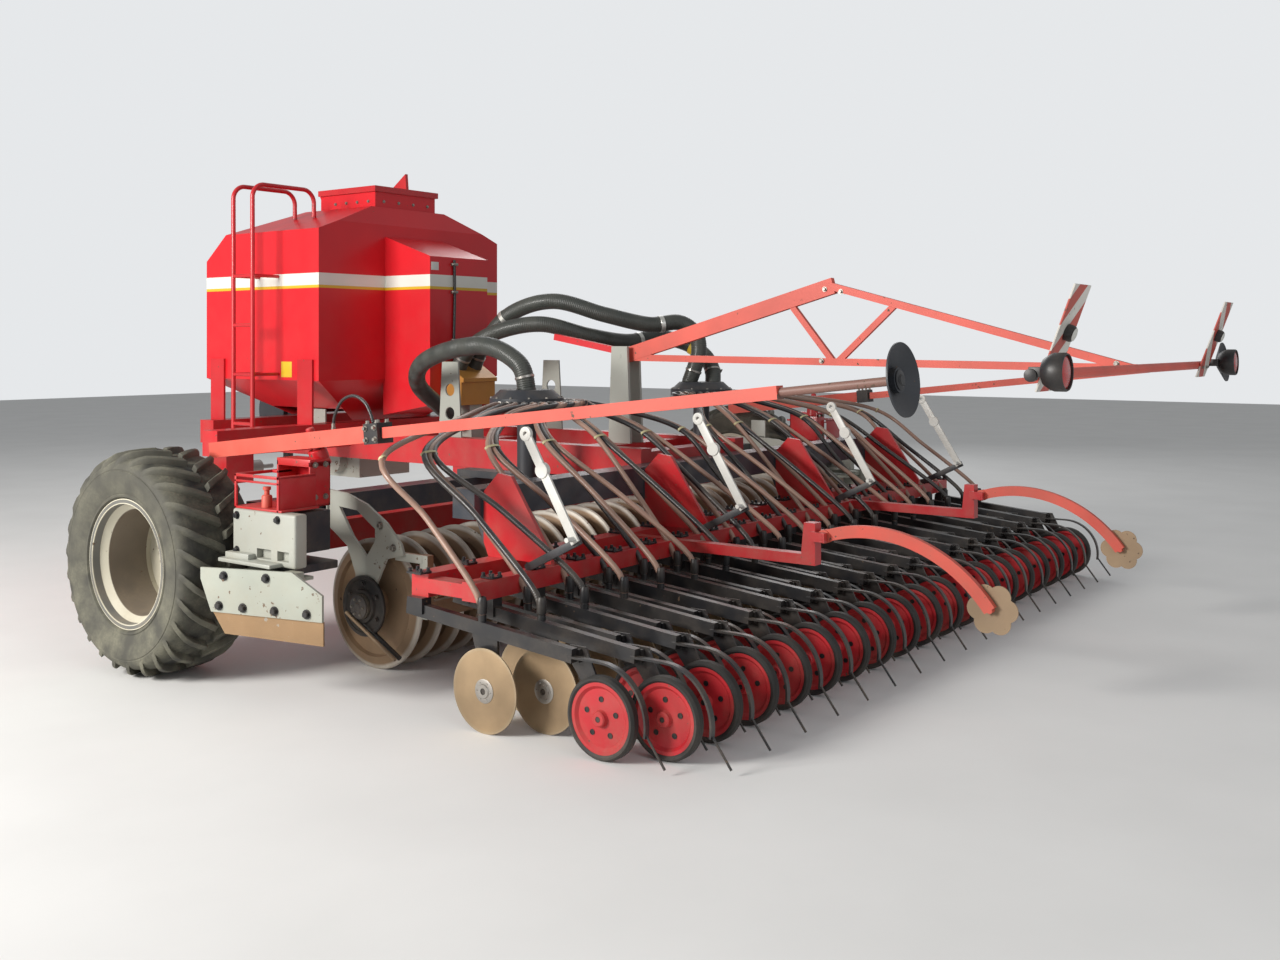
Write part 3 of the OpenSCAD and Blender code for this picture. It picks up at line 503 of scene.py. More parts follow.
@dataclass(frozen=True)
class StripedFinish(Finish):
    """Warning board with slanting stripes of two colours."""

    stripe: Color = (0.55, 0.05, 0.04)
    pitch: float = 0.2

    def pattern(self, graph: Graph) -> object:
        """Stripes that fall outwards on both boards."""
        place = graph.split(graph.place())
        slant = graph.math("ADD", place[2], graph.math("ABSOLUTE", place[0]))
        part = graph.math("FRACT", graph.math("DIVIDE", slant, self.pitch))
        return graph.mix(graph.math("GREATER_THAN", part, 0.5), self.color, self.stripe)


@dataclass(frozen=True)
class RibbedFinish(Finish):
    """Hose wall with rings round it, along the hose's own UV map."""

    pitch: float = 0.012
    rib: float = 0.5

    def relief(self, graph: Graph) -> bpy.types.NodeSocket:
        """Rings round the hose on top of the grain."""
        along = graph.split(graph.node("ShaderNodeTexCoord").outputs["UV"])[1]
        rings = graph.math("SINE", graph.times(along, 2 * math.pi / self.pitch))
        return graph.math("ADD", Finish.relief(self, graph), graph.times(rings, self.rib))


TYRE_LOOK = {"color": (0.055, 0.053, 0.042), "roughness": 0.72, "drift": 0.3, "soil": 0.9, "grain": 60.0,
             "soil_color": (0.27, 0.26, 0.19), "soil_reach": 1.5, "chips": 0.0, "bump": 0.35}


class Palette:
    """The drill's finishes, each made once."""

    HOPPER = Finish("hopper_red", BRIGHT_RED, roughness=0.36, coat=0.12, drift=0.12, soil=0.16, soil_reach=2.6,
                    chips=0.1, bump=0.04, depth=0.004, grain=12.0,
                    regions=(Region((0.72, 0.72, 0.66), z=(1.985, 2.065)),
                             Region((0.66, 0.42, 0.02), z=(1.966, 1.985))))
    LID = Finish("lid_red", (0.5, 0.01, 0.015), roughness=0.32, coat=0.3, soil=0.35, soil_reach=3.5, chips=0.3,
                 bump=0.06)
    FRAME = Finish("frame_red", FRAME_RED, roughness=0.36, coat=0.2, soil=0.55, soil_reach=1.6, chips=0.5)
    FADED = Finish("faded_red", FADED_RED, roughness=0.5, drift=0.3, soil=0.45, soil_reach=2.2, chips=0.55)
    DRAWBAR = Finish("drawbar_red", FRAME_RED, roughness=0.36, coat=0.2, soil=0.6, chips=0.5,
                     regions=(Region((0.3, 0.29, 0.27), y=(3.576, FAR), z=(-FAR, 0.622)),))
    MARKER = replace(FADED, name="marker_arm_red", soil=0.5, chips=0.6, regions=(
        # Painted shade: the brown patch past Y -2.985 stands for the shadow on the arm's end next to the disc.
        Region(BLACK, y=(-0.974, -0.874)), Region((0.2, 0.1, 0.08), y=(-FAR, -2.985))))
    GREY = Finish("bracket_grey", BRACKET_GREY, roughness=0.42, drift=0.2, soil=0.6, soil_color=PALE_SOIL,
                  chips=0.55)
    BOARD_GREY = Finish("board_grey", (0.34, 0.36, 0.31), roughness=0.46, drift=0.3, soil=0.8,
                        soil_color=PALE_SOIL, soil_reach=0.75, chips=0.8)
    ROLLER_FRAME = Finish("roller_frame_grey", BRACKET_GREY, roughness=0.4, drift=0.2, soil=0.55,
                          soil_color=PALE_SOIL, chips=0.5, regions=(
                              # Painted shade: the beam band at this height is coloured dark blue-grey for the shadow on
                              # it.
                              Region(PAINTED_SHADE_BLUE_GREY, (-0.1, 2.112), (-0.2, 0.1), (0.69, 0.83)),
                              Region(PAINTED_SHADE_BLUE_GREY, (2.138, FAR), (-0.2, 0.1), (0.69, 0.83)),
                              Region((0.22, 0.13, 0.07), (-0.1, 2.119), (-FAR, -0.68), (-FAR, 0.62)),
                              Region(BLACK, (2.0, 2.119), (-0.56, -0.42), (0.24, 0.4)),
                              Region(BLACK, (2.135, 2.2), (-0.56, -0.42), (0.24, 0.4))))
    DARK = Finish("dark_casting", DARK_GREY, roughness=0.45, soil=0.7, chips=0.3)
    LIFT = Finish("lift_arm_red", FRAME_RED, roughness=0.3, coat=0.25, soil=0.5, soil_reach=1.5, chips=0.4,
                  # Painted shade: the lower front part of the lift arms is coloured dark blue-grey for the shadow on
                  # it.
                  regions=(Region(PAINTED_SHADE_BLUE_GREY, (-0.1, FAR), (-1.15, FAR), (-FAR, 0.925)),))
    DUCT = Finish("duct_orange", (0.52, 0.24, 0.05), roughness=0.34, metallic=0.25, drift=0.4, soil=0.4,
                  soil_reach=1.8, regions=(Region(BRACKET_GREY, (-0.1, FAR), z=(-FAR, 1.179)),))
    MAST = Finish("mast_grey", BRACKET_GREY, roughness=0.42, soil=0.6, soil_color=PALE_SOIL, chips=0.5,
                  regions=(Region(BRIGHT_RED, (-0.1, 0.045), (-0.428, FAR), (1.5, FAR)),))
    BLADE = Finish("blade_steel", (0.3, 0.19, 0.1), roughness=0.5, metallic=0.55, drift=0.6, soil=0.6,
                   soil_reach=0.5, chips=0.45, under=(0.36, 0.33, 0.28), bump=0.3)
    BARE = Finish("bare_steel", (0.42, 0.4, 0.37), roughness=0.35, metallic=0.9, drift=0.3, soil=0.3, chips=0.5)
    BOLT = Finish("bolt_steel", (0.3, 0.28, 0.25), roughness=0.4, metallic=0.8, drift=0.4, chips=0.5)
    RIM = Finish("rim_cream", (0.57, 0.54, 0.43), roughness=0.42, drift=0.3, soil_color=PALE_SOIL, soil_reach=1.1,
                 # Painted shade: the recessed barrel between the disc and the outer lip is coloured dark brown-grey for
                 # the shade inside it.
                 chips=0.6, regions=(Region((0.2, 0.165, 0.13), (2.628, 2.832)),
                                     Region((0.17, 0.17, 0.16), (2.862, 2.896))))
    RIM_GROOVE = Finish("rim_groove", (0.12, 0.12, 0.11), roughness=0.5, drift=0.3, soil_color=PALE_SOIL)
    TYRE = Finish("tyre_rubber", **TYRE_LOOK)
    TYRE_WALL = TurnedFinish("tyre_wall_rubber", **TYRE_LOOK, centre=(AXLE_Y, TYRE_R), rim_radius=0.5,
                             rim_soft=0.014, rim_color=(0.01, 0.01, 0.009))
    BLACK_STEEL = Finish("coulter_black", BLACK, roughness=0.33, coat=0.15, soil=0.55, soil_reach=0.6, chips=0.35,
                         under=(0.16, 0.1, 0.06))
    PRESS_RED = Finish("press_wheel_red", (0.5, 0.02, 0.028), roughness=0.4, soil_reach=0.5, chips=0.5)
    PRESS_RUBBER = Finish("press_tyre_rubber", (0.022, 0.021, 0.02), roughness=0.6, soil=0.6, soil_reach=0.3,
                          chips=0.0, soil_color=(0.16, 0.13, 0.1))
    LAMP_BODY = Finish("lamp_black", BLACK, roughness=0.4, soil=0.3, soil_reach=3.0, chips=0.1)
    LAMP_RED = Finish("lamp_lens_red", (0.5, 0.012, 0.01), roughness=0.12, coat=0.7, drift=0.1, soil=0.2,
                      soil_reach=3.0, chips=0.0, bump=0.5, grain=300.0)
    BOARD = StripedFinish("warning_board", (0.66, 0.63, 0.58), drift=0.3, soil_reach=3.2, chips=0.5,
                          stripe=(0.5, 0.07, 0.05))
    MAIN_HOSE = RibbedFinish("main_hose_grey", (0.045, 0.05, 0.045), roughness=0.42, coat=0.1, drift=0.3,
                             soil_reach=2.8, chips=0.0, bump=0.5, depth=0.003, soil_color=(0.14, 0.13, 0.1))
    PINK_HOSE = RibbedFinish("seed_hose_brown", (0.33, 0.2, 0.15), roughness=0.38, coat=0.1, drift=0.45,
                             soil_reach=1.6, chips=0.0, bump=0.2, pitch=0.02, rib=0.2)
    DARK_HOSE = RibbedFinish("seed_hose_black", (0.02, 0.02, 0.022), roughness=0.35, coat=0.15, soil=0.45,
                             soil_reach=1.6, chips=0.0, bump=0.25, pitch=0.01)
    CLAMP = Finish("hose_clamp", (0.6, 0.6, 0.56), roughness=0.3, metallic=0.7, drift=0.3, soil=0.2, chips=0.2)
    YELLOW = Finish("yellow_band", (0.68, 0.45, 0.02), roughness=0.4, drift=0.15, soil=0.3, chips=0.1)
    WHITE = Finish("plain_label", (0.68, 0.68, 0.64), roughness=0.4, drift=0.1, soil=0.4, soil_reach=3.5,
                   chips=0.15)
    TIE = Finish("tie_yellow", (0.55, 0.5, 0.28), roughness=0.5, soil=0.3, chips=0.0)
    RING = TurnedFinish("packer_ring_steel", (0.26, 0.17, 0.1), roughness=0.55, metallic=0.3, drift=0.9, soil=0.7,
                        soil_reach=0.6, soil_color=(0.27, 0.19, 0.12), centre=(ROLLER_Y, ROLLER_R),
                        rim_radius=0.298, rim_soft=0.006, rim_color=(0.52, 0.48, 0.42))
    DISC_FRONT = TurnedFinish("disc_steel_front", (0.38, 0.27, 0.16), roughness=0.4, metallic=0.6, drift=0.8,
                              soil=0.45, soil_reach=0.4, soil_color=(0.3, 0.21, 0.13), centre=(DISC_Y, DISC_R),
                              rim_radius=0.166, rim_soft=0.005, rim_color=(0.4, 0.31, 0.2))
    DISC_REAR = replace(DISC_FRONT, name="disc_steel_rear", centre=(DISC_Y - ROW_STEP, DISC_R))
    LOBE = Finish("lobed_disc_steel", (0.34, 0.24, 0.15), roughness=0.5, metallic=0.4, drift=0.5, soil_reach=1.0,
                  chips=0.7)

    def __init__(self) -> None:
        """Starts with no material made."""
        self.materials: dict[str, bpy.types.Material] = {}

    def get(self, finish: Finish) -> bpy.types.Material:
        """The finish's material, built when first asked for."""
        if finish.name not in self.materials:
            self.materials[finish.name] = finish.build()
        return self.materials[finish.name]


PALETTE = Palette()

NODE_FINISH: dict[str, Finish] = {node: finish for finish, nodes in (
    (Palette.FRAME, "main_frame ladder marker_mounts coulter_frame"), (Palette.DRAWBAR, "drawbar"),
    (Palette.HOPPER, "hopper"), (Palette.LID, "lid"), (Palette.DUCT, "air_duct"), (Palette.MAST, "mast"),
    (Palette.GREY, "hopper_frame_plates metering_box side_boxes"), (Palette.ROLLER_FRAME, "roller_frame"),
    (Palette.DARK, "axle_stubs fan seed_heads marker_disc_left marker_disc_right jack_tube"),
    (Palette.RING, "roller"), (Palette.BOARD_GREY, "levelling_boards"), (Palette.BLADE, "board_blades"),
    (Palette.LIFT, "lift_arms"), (Palette.WHITE, "hose_stands"), (Palette.DISC_FRONT, "discs_front"),
    (Palette.DISC_REAR, "discs_rear"), (Palette.BLACK_STEEL, "coulter_arms_front coulter_arms_rear"),
    (Palette.PRESS_RED, "press_rims_front press_rims_rear"), (Palette.TYRE, "tyre_left tyre_right"),
    (Palette.PRESS_RUBBER, "press_tyres_front press_tyres_rear"), (Palette.RIM, "rim_left rim_right"),
    (Palette.FADED, "light_truss tram_arm_left tram_arm_right"), (Palette.BOARD, "light_boards"),
    (Palette.LAMP_BODY, "lamps"), (Palette.MARKER, "marker_arm_left marker_arm_right"),
    (Palette.LOBE, "tram_disc_left tram_disc_right"), (Palette.BARE, "jack_leg"),
    (Palette.MAIN_HOSE, "main_hoses"), (Palette.PINK_HOSE, "seed_hoses"),
) for node in nodes.split()}


class Bench:
    """Modelling steps done with Blender's own operators."""

    @staticmethod
    def clear() -> None:
        """Leaves edit mode and deselects everything."""
        if bpy.context.object and bpy.context.object.mode != "OBJECT":
            bpy.ops.object.mode_set(mode="OBJECT")
        for thing in bpy.context.view_layer.objects:
            thing.select_set(False)

    @classmethod
    def pick(cls, thing: bpy.types.Object) -> None:
        """Makes one object the only selected and active one."""
        cls.clear()
        thing.select_set(True)
        bpy.context.view_layer.objects.active = thing

    @staticmethod
    def linked(name: str, mesh: bpy.types.Mesh) -> bpy.types.Object:
        """Puts a mesh into the scene as a new object."""
        made = bpy.data.objects.new(name, mesh)
        bpy.context.scene.collection.objects.link(made)
        return made

    @staticmethod
    def named(name: str) -> bpy.types.Object:
        """Names the object just added and puts its place into its mesh."""
        made = bpy.context.object
        made.name = made.data.name = name
        bpy.ops.object.transform_apply(location=True, rotation=True, scale=True)
        return made

    @classmethod
    def cylinder(cls, name: str, radius: float, length: float, centre: Sequence[float], along: Vector = X,
                 sides: int = 32) -> bpy.types.Object:
        """Adds a cylinder.

        Args:
            name: The piece's name.
            radius: Its radius.
            length: Its length.
            centre: Its middle.
            along: Direction of its axis.
            sides: Number of sides.

        Returns:
            The new object.
        """
        cls.clear()
        turn = Vector(along).to_track_quat("Z", "Y").to_euler()
        bpy.ops.mesh.primitive_cylinder_add(vertices=sides, radius=radius, depth=length, location=centre,
                                            rotation=turn)
        return cls.named(name)

    @classmethod
    def block(cls, name: str, low: Sequence[float], high: Sequence[float], rounding: float = 0.0,
              steps: int = 2) -> bpy.types.Object:
        """Adds a box between two corners.

        Args:
            name: The piece's name.
            low: Lowest corner.
            high: Highest corner.
            rounding: Width of its rounded edges, or 0 for sharp ones.
            steps: Steps of the rounding.

        Returns:
            The new object.
        """
        cls.clear()
        a, b = Vector(low), Vector(high)
        bpy.ops.mesh.primitive_cube_add(size=1.0, location=(a + b) / 2, scale=b - a)
        made = cls.named(name)
        if rounding:
            cls.bevel(made, rounding, steps)
        return made

    @classmethod
    def facing(cls, thing: bpy.types.Object, direction: Vector) -> Vector:
        """Goes to edit mode with only the faces that look one way selected, and returns the unit direction."""
        way = Vector(direction).normalized()
        cls.pick(thing)
        bpy.ops.object.mode_set(mode="EDIT")
        bpy.ops.mesh.select_mode(type="FACE")
        bpy.ops.mesh.select_all(action="DESELECT")
        bpy.ops.object.mode_set(mode="OBJECT")
        for face in thing.data.polygons:
            face.select = face.normal.dot(way) > 0.95
        bpy.ops.object.mode_set(mode="EDIT")
        return way

    @classmethod
    def inset(cls, thing: bpy.types.Object, direction: Vector, thickness: float, depth: float = 0.0) -> None:
        """Insets the faces that look one way, and sinks or raises them.

        Args:
            thing: The mesh object.
            direction: The way the faces look.
            thickness: Width of the border.
            depth: Height of the inner face above the old one.
        """
        cls.facing(thing, direction)
        bpy.ops.mesh.inset(thickness=thickness, depth=depth)
        bpy.ops.object.mode_set(mode="OBJECT")

    @classmethod
    def extrude(cls, thing: bpy.types.Object, direction: Vector, distance: float) -> None:
        """Extrudes the faces that look one way.

        Args:
            thing: The mesh object.
            direction: The way the faces look.
            distance: How far they go.
        """
        way = cls.facing(thing, direction)
        bpy.ops.mesh.extrude_region_move(TRANSFORM_OT_translate={"value": way * distance})
        bpy.ops.object.mode_set(mode="OBJECT")

    @classmethod
    def outward(cls, thing: bpy.types.Object) -> None:
        """Turns all faces outwards."""
        cls.pick(thing)
        bpy.ops.object.mode_set(mode="EDIT")
        bpy.ops.mesh.select_all(action="SELECT")
        bpy.ops.mesh.normals_make_consistent(inside=False)
        bpy.ops.object.mode_set(mode="OBJECT")

    @classmethod
    def bevel(cls, thing: bpy.types.Object, width: float, segments: int = 2, angle: float = 35.0) -> None:
        """Rounds the sharp edges with a modifier and applies it.

        Args:
            thing: The mesh object.
            width: Width of the rounding.
            segments: Number of steps.
            angle: Least angle of a sharp edge, in degrees.
        """
        cls.pick(thing)
        rounding = thing.modifiers.new("rounding", "BEVEL")
        rounding.width = width
        rounding.segments = segments
        rounding.limit_method = "ANGLE"
        rounding.angle_limit = math.radians(angle)
        bpy.ops.object.modifier_apply(modifier=rounding.name)

    @classmethod
    def spun(cls, name: str, profile: Profile, steps: int = 48, centre: Sequence[float] = (0, 0, 0),
             along: Vector = Z) -> bpy.types.Object:
        """Turns an outline about an axis with the spin operator.

        Args:
            name: The piece's name.
            profile: Radius and height of each point, from one end of the axis to the other.
            steps: Steps of the full turn.
            centre: Point on the axis at height 0.
            along: Direction of the axis.

        Returns:
            The new object.
        """
        cls.clear()
        mesh = bpy.data.meshes.new(name)
        mesh.from_pydata([(radius, 0.0, height) for radius, height in profile],
                         [(i, i + 1) for i in range(len(profile) - 1)], [])
        made = cls.linked(name, mesh)
        cls.pick(made)
        bpy.ops.object.mode_set(mode="EDIT")
        bpy.ops.mesh.select_all(action="SELECT")
        bpy.ops.mesh.spin(steps=steps, angle=2 * math.pi, center=(0, 0, 0), axis=(0, 0, 1))
        bpy.ops.mesh.select_all(action="SELECT")
        bpy.ops.mesh.remove_doubles(threshold=1e-5)
        bpy.ops.mesh.normals_make_consistent(inside=False)
        bpy.ops.object.mode_set(mode="OBJECT")
        made.data.transform(Matrix.Translation(Vector(centre)) @ aim(along))
        return made

    @classmethod
    def cut(cls, thing: bpy.types.Object, cutter: bpy.types.Object) -> None:
        """Cuts one object out of another, and removes the cutter.

        Args:
            thing: The object that is cut.
            cutter: The shape that is taken away.
        """
        cls.pick(thing)
        modifier = thing.modifiers.new("cut", "BOOLEAN")
        modifier.operation = "DIFFERENCE"
        modifier.solver = "EXACT"
        modifier.object = cutter
        bpy.ops.object.modifier_apply(modifier=modifier.name)
        cls.pick(cutter)
        bpy.ops.object.delete()

    @classmethod
    def smooth(cls, thing: bpy.types.Object, angle: float) -> None:
        """Shades smooth below an angle, in degrees."""
        cls.pick(thing)
        bpy.ops.object.shade_smooth_by_angle(angle=math.radians(angle))

    @classmethod
    def join(cls, name: str, *things: bpy.types.Object) -> bpy.types.Object:
        """Joins objects into one mesh of that name."""
        cls.pick(things[0])
        for thing in things:
            thing.select_set(True)
        bpy.ops.object.join()
        things[0].name = things[0].data.name = name
        return things[0]

    @classmethod
    def copies(cls, name: str, pattern: bpy.types.Object, places: Iterable[Matrix]) -> bpy.types.Object:
        """Repeats a modelled pattern at many places, as one mesh, and deletes the pattern.

        Args:
            name: Name of the new piece.
            pattern: The piece modelled once, at the origin.
            places: Where each copy goes.

        Returns:
            The new object.
        """
        total = bmesh.new()
        for place in places:
            before = len(total.verts)
            total.from_mesh(pattern.data)
            total.verts.ensure_lookup_table()
            fresh = total.verts[before:]
            bmesh.ops.transform(total, matrix=place, verts=fresh)
            if place.to_3x3().determinant() < 0:
                bmesh.ops.reverse_faces(total, faces=list({face for vert in fresh for face in vert.link_faces}))
        mesh = bpy.data.meshes.new(name)
        total.to_mesh(mesh)
        total.free()
        made = cls.linked(name, mesh)
        bpy.data.objects.remove(pattern)
        return made


class Fitter:
    """Gives finished pieces their material and the body that they ride on."""

    def __init__(self) -> None:
        """Starts with no piece fitted."""
        self.count = 0

    def fit(self, piece: bpy.types.Object, finish: Finish, slot: str, body: str = "chassis", angle: float = 35.0,
            node: str = "") -> bpy.types.Object:
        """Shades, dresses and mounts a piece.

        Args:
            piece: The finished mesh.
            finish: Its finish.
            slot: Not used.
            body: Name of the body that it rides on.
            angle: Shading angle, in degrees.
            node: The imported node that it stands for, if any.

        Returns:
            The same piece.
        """
        Bench.smooth(piece, angle)
        piece.data.materials.clear()
        piece.data.materials.append(PALETTE.get(finish))
        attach(piece, body)
        if node:
            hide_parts(node)
        self.count += 1
        LOG.info("piece %s rides on %s, %d faces", piece.name, body, len(piece.data.polygons))
        return piece

    def repeat(self, name: str, pattern: bpy.types.Object, places: Iterable[Matrix], finish: Finish, slot: str,
               body: str = "chassis", angle: float = 35.0, node: str = "") -> bpy.types.Object:
        """Repeats a pattern at many places and fits the piece that it makes.

        Args:
            name: Name of the piece.
            pattern: The piece modelled once, at the origin.
            places: Where each copy goes.
            finish: Its finish.
            slot: The record's material slot.
            body: Name of the body that it rides on.
            angle: Shading angle, in degrees.
            node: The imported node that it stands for, if any.

        Returns:
            The fitted piece.
        """
        return self.fit(Bench.copies(name, pattern, places), finish, slot, body, angle, node)


FITTER = Fitter()


@dataclass
class Fastener:
    """Hexagon screw head on a washer, modelled once and repeated."""

    across: float = 0.024
    height: float = 0.011
    washer: float = 1.45
    washer_thick: float = 0.003

    def pattern(self) -> bpy.types.Object:
        """One screw head standing on the origin along Z."""
        head = Bench.cylinder("head", self.across / 2, self.height, (0, 0, self.height / 2 + 0.002), Z, 6)
        Bench.inset(head, Z, self.across * 0.09, self.across * 0.07)
        disc = Bench.cylinder("washer", self.across / 2 * self.washer, self.washer_thick,
                              (0, 0, self.washer_thick / 2), Z, 14)
        return Bench.join("fastener", head, disc)

    def place(self, name: str, spots: Spots, body: str = "chassis", finish: Finish = Palette.BOLT,
              slot: str = "bare_steel") -> bpy.types.Object:
        """Puts a head at each spot.

        Args:
            name: Name of the joined piece.
            spots: Point and outward direction of each head.
            body: Body that they ride on.
            finish: Their finish.
            slot: The record's material slot.

        Returns:
            The joined piece.
        """
        places = [Matrix.Translation(Vector(spot)) @ aim(way) for spot, way in spots]
        return FITTER.repeat(name, self.pattern(), places, finish, slot, body, 30.0)


class HoseShop:
    """Sweeps round hose walls along smooth routes, with a UV map that runs along the hose."""

    @staticmethod
    def route(points: Sequence[Vector], count: int) -> list[Vector]:
        """Points of a Catmull-Rom curve.

        Args:
            points: Points that the curve passes through.
            count: Number of steps.

        Returns:
            Points along the curve.
        """
        last = len(points) - 1
        route = []
        for step in range(count + 1):
            where = step / count * last
            index = min(int(where), last - 1)
            t = where - index
            a, b = points[max(index - 1, 0)], points[index]
            c, d = points[index + 1], points[min(index + 2, last)]
            route.append(b + 0.5 * t * (c - a) + t * t * (a - 2.5 * b + 2 * c - 0.5 * d)
                         + t ** 3 * (1.5 * (b - c) + 0.5 * (d - a)))
        return route

    @staticmethod
    def lengths(route: Sequence[Vector]) -> list[float]:
        """Length of a route up to each of its points."""
        total = [0.0]
        for a, b in zip(route, route[1:]):
            total.append(total[-1] + (b - a).length)
        return total

    @classmethod
    def evenly(cls, points: Sequence[Vector], count: int, step: float) -> list[Vector]:
        """A smooth route with points at even steps.

        Args:
            points: Points that it passes through.
            count: Number of steps of the curve that is measured.
            step: Wanted distance of the points.

        Returns:
            The new points, with both ends kept.
        """
        route = cls.route(points, count)
        lengths = cls.lengths(route)
        pieces = max(2, round(lengths[-1] / step))
        even, index = [], 0
        for k in range(pieces + 1):
            want = lengths[-1] * k / pieces
            while index < len(lengths) - 2 and lengths[index + 1] < want:
                index += 1
            part = (want - lengths[index]) / max(lengths[index + 1] - lengths[index], 1e-9)
            even.append(route[index].lerp(route[index + 1], min(max(part, 0.0), 1.0)))
        return even

    @staticmethod
    def frames(route: Sequence[Vector], first: Vector, last: Vector) -> list[tuple[Vector, Vector]]:
        """Cross-section directions that don't twist along a route.

        Args:
            route: Points along the route.
            first: Direction of the hose at its start.
            last: Direction at its end.

        Returns:
            Two cross directions at each point.
        """
        inner = [(after - before).normalized() for before, after in zip(route, route[2:])]
        tangents = [first.normalized()] + inner + [last.normalized()]
        side = tangents[0].cross(X if abs(tangents[0].z) > 0.9 else Z).normalized()
        made = []
        for tangent in tangents:
            side = (side - side.dot(tangent) * tangent).normalized()
            made.append((side, tangent.cross(side)))
        return made

    @classmethod
    def sweep(cls, mesh: bmesh.types.BMesh, route: Sequence[Vector], first: Vector, last: Vector,
              radius: Callable[[int], float], sides: int) -> None:
        """Adds one closed hose to a mesh.

        Args:
            mesh: The mesh that grows.
            route: Points along the hose.
            first: Direction at the start.
            last: Direction at the end.
            radius: Radius at each point.
            sides: Number of sides.
        """
        layer = mesh.loops.layers.uv.verify()
        along = cls.lengths(route)
        round_it = circle(1.0, sides)
        rings = [[mesh.verts.new(point + radius(index) * (c * side + s * up)) for c, s in round_it]
                 for index, (point, (side, up)) in enumerate(zip(route, cls.frames(route, first, last)))]
        for index, (ring, beyond) in enumerate(zip(rings, rings[1:])):
            for k in range(sides):
                after = (k + 1) % sides
                face = mesh.faces.new((ring[k], ring[after], beyond[after], beyond[k]))
                spots = ((k, index), (k + 1, index), (k + 1, index + 1), (k, index + 1))
                for loop, (u, v) in zip(face.loops, spots):
                    loop[layer].uv = (u / sides, along[v])
        mesh.faces.new(list(reversed(rings[0])))
        mesh.faces.new(rings[-1])

    @classmethod
    def hoses(cls, name: str, runs: Iterable[tuple[Sequence[Vector], Vector, Vector]],
              radius: Callable[[int], float], sides: int) -> bpy.types.Object:
        """Makes one piece of several hoses.

        Args:
            name: Name of the piece.
            runs: Each hose's points, and its directions at the start and at the end.
            radius: Radius at each point.
            sides: Number of sides.

        Returns:
            The new object.
        """
        mesh = bmesh.new()
        for route, first, last in runs:
            cls.sweep(mesh, route, first, last, radius, sides)
        bmesh.ops.recalc_face_normals(mesh, faces=mesh.faces[:])
        data = bpy.data.meshes.new(name)
        mesh.to_mesh(data)
        mesh.free()
        return Bench.linked(name, data)


@dataclass
class MainHoses:
    """Three ribbed air hoses from the duct and metering box to the distributor heads."""

    radius: float = 0.054
    rib_pitch: float = 0.013
    rib_depth: float = 0.0028
    sides: int = 28
    steps: int = 160
    high: list[Vector] = field(default_factory=lambda: vectors(
        (75, 890, 1440), (75, 800, 1590), (90, 560, 1800), (170, 250, 1880), (350, -40, 1790), (580, -240, 1725),
        (760, -360, 1740), (860, -430, 1660), (870, -450, 1540), (845, -430, 1430), (830, -400, 1337)))
    low: list[Vector] = field(default_factory=lambda: vectors(
        (-75, 890, 1440), (-75, 780, 1570), (-50, 540, 1680), (60, 260, 1725), (300, 60, 1650), (600, -40, 1610),
        (860, -120, 1640), (1010, -240, 1600), (1050, -370, 1520), (1020, -460, 1420), (985, -490, 1337)))
    left: list[Vector] = field(default_factory=lambda: vectors(
        (-60.3, 865, 1060), (-115, 865, 1065), (-300, 850, 1180), (-560, 780, 1330), (-780, 520, 1470),
        (-900, 150, 1560), (-925, -180, 1580), (-910, -400, 1480), (-900, -450, 1337)))
    duct_lean: float = math.radians(31)

    def walls(self) -> None:
        """The hose walls, with each rib as geometry."""
        up = Vector((0.0, -math.sin(self.duct_lean), math.cos(self.duct_lean)))
        runs = [(HoseShop.evenly(points, self.steps, self.rib_pitch / 2), first, DOWN)
                for points, first in ((self.high, up), (self.low, up), (self.left, -X))]
        piece = HoseShop.hoses("main_hose_walls", runs, lambda k: self.radius - (k % 2) * self.rib_depth,
                               self.sides)
        FITTER.fit(piece, Palette.MAIN_HOSE, "hose_black", angle=70.0, node="main_hoses")

    def band(self, name: str, points: Sequence[Vector], shares: Sequence[float], width: float, thick: float,
             finish: Finish, slot: str = "bare_steel") -> None:
        """Bands round one hose at shares of its length.

        Args:
            name: Name of the piece.
            points: The hose's route points.
            shares: Share of the length of each band.
            width: Width of a band.
            thick: Its thickness.
            finish: Its finish.
            slot: The record's material slot.
        """
        route = HoseShop.evenly(points, self.steps, 0.01)
        places = []
        for share in shares:
            index = min(max(1, round(share * (len(route) - 1))), len(route) - 2)
            places.append(Matrix.Translation(route[index]) @ aim((route[index + 1] - route[index - 1]).normalized()))
        inner, outer, half, edge = self.radius + 0.0004, self.radius + thick, width / 2, 0.001
        band = Bench.spun("band", [(inner, -half), (outer - edge, -half), (outer, edge - half), (outer, half - edge),
                                   (outer - edge, half), (inner, half), (inner, -half)], 40)
        screw = Bench.cylinder("screw", 0.006, 0.034, (outer + 0.006, 0, 0), Y, 12)
        lug = Bench.block("lug", (outer - edge, -0.012, 0.002 - half), (outer + 0.008, 0.012, half - 0.002), 0.0015)
        FITTER.repeat(name, Bench.join("band", band, screw, lug), places, finish, slot)

    def build(self) -> None:
        """Walls, worm clamps at the ends, pale clamps on the crossing and a yellow band at the right head."""
        self.walls()
        for name, points in (("high", self.high), ("low", self.low), ("left", self.left)):
            self.band(f"hose_clamps_{name}", points, (0.03, 0.965), 0.014, 0.0025, Palette.BARE)
        self.band("hose_pale_band_high", self.high, (0.2, 0.72), 0.03, 0.003, Palette.CLAMP)
        self.band("hose_pale_band_low", self.low, (0.66,), 0.03, 0.003, Palette.CLAMP)
        self.band("hose_yellow_band", self.low, (0.86,), 0.05, 0.004, Palette.YELLOW, "board_white")


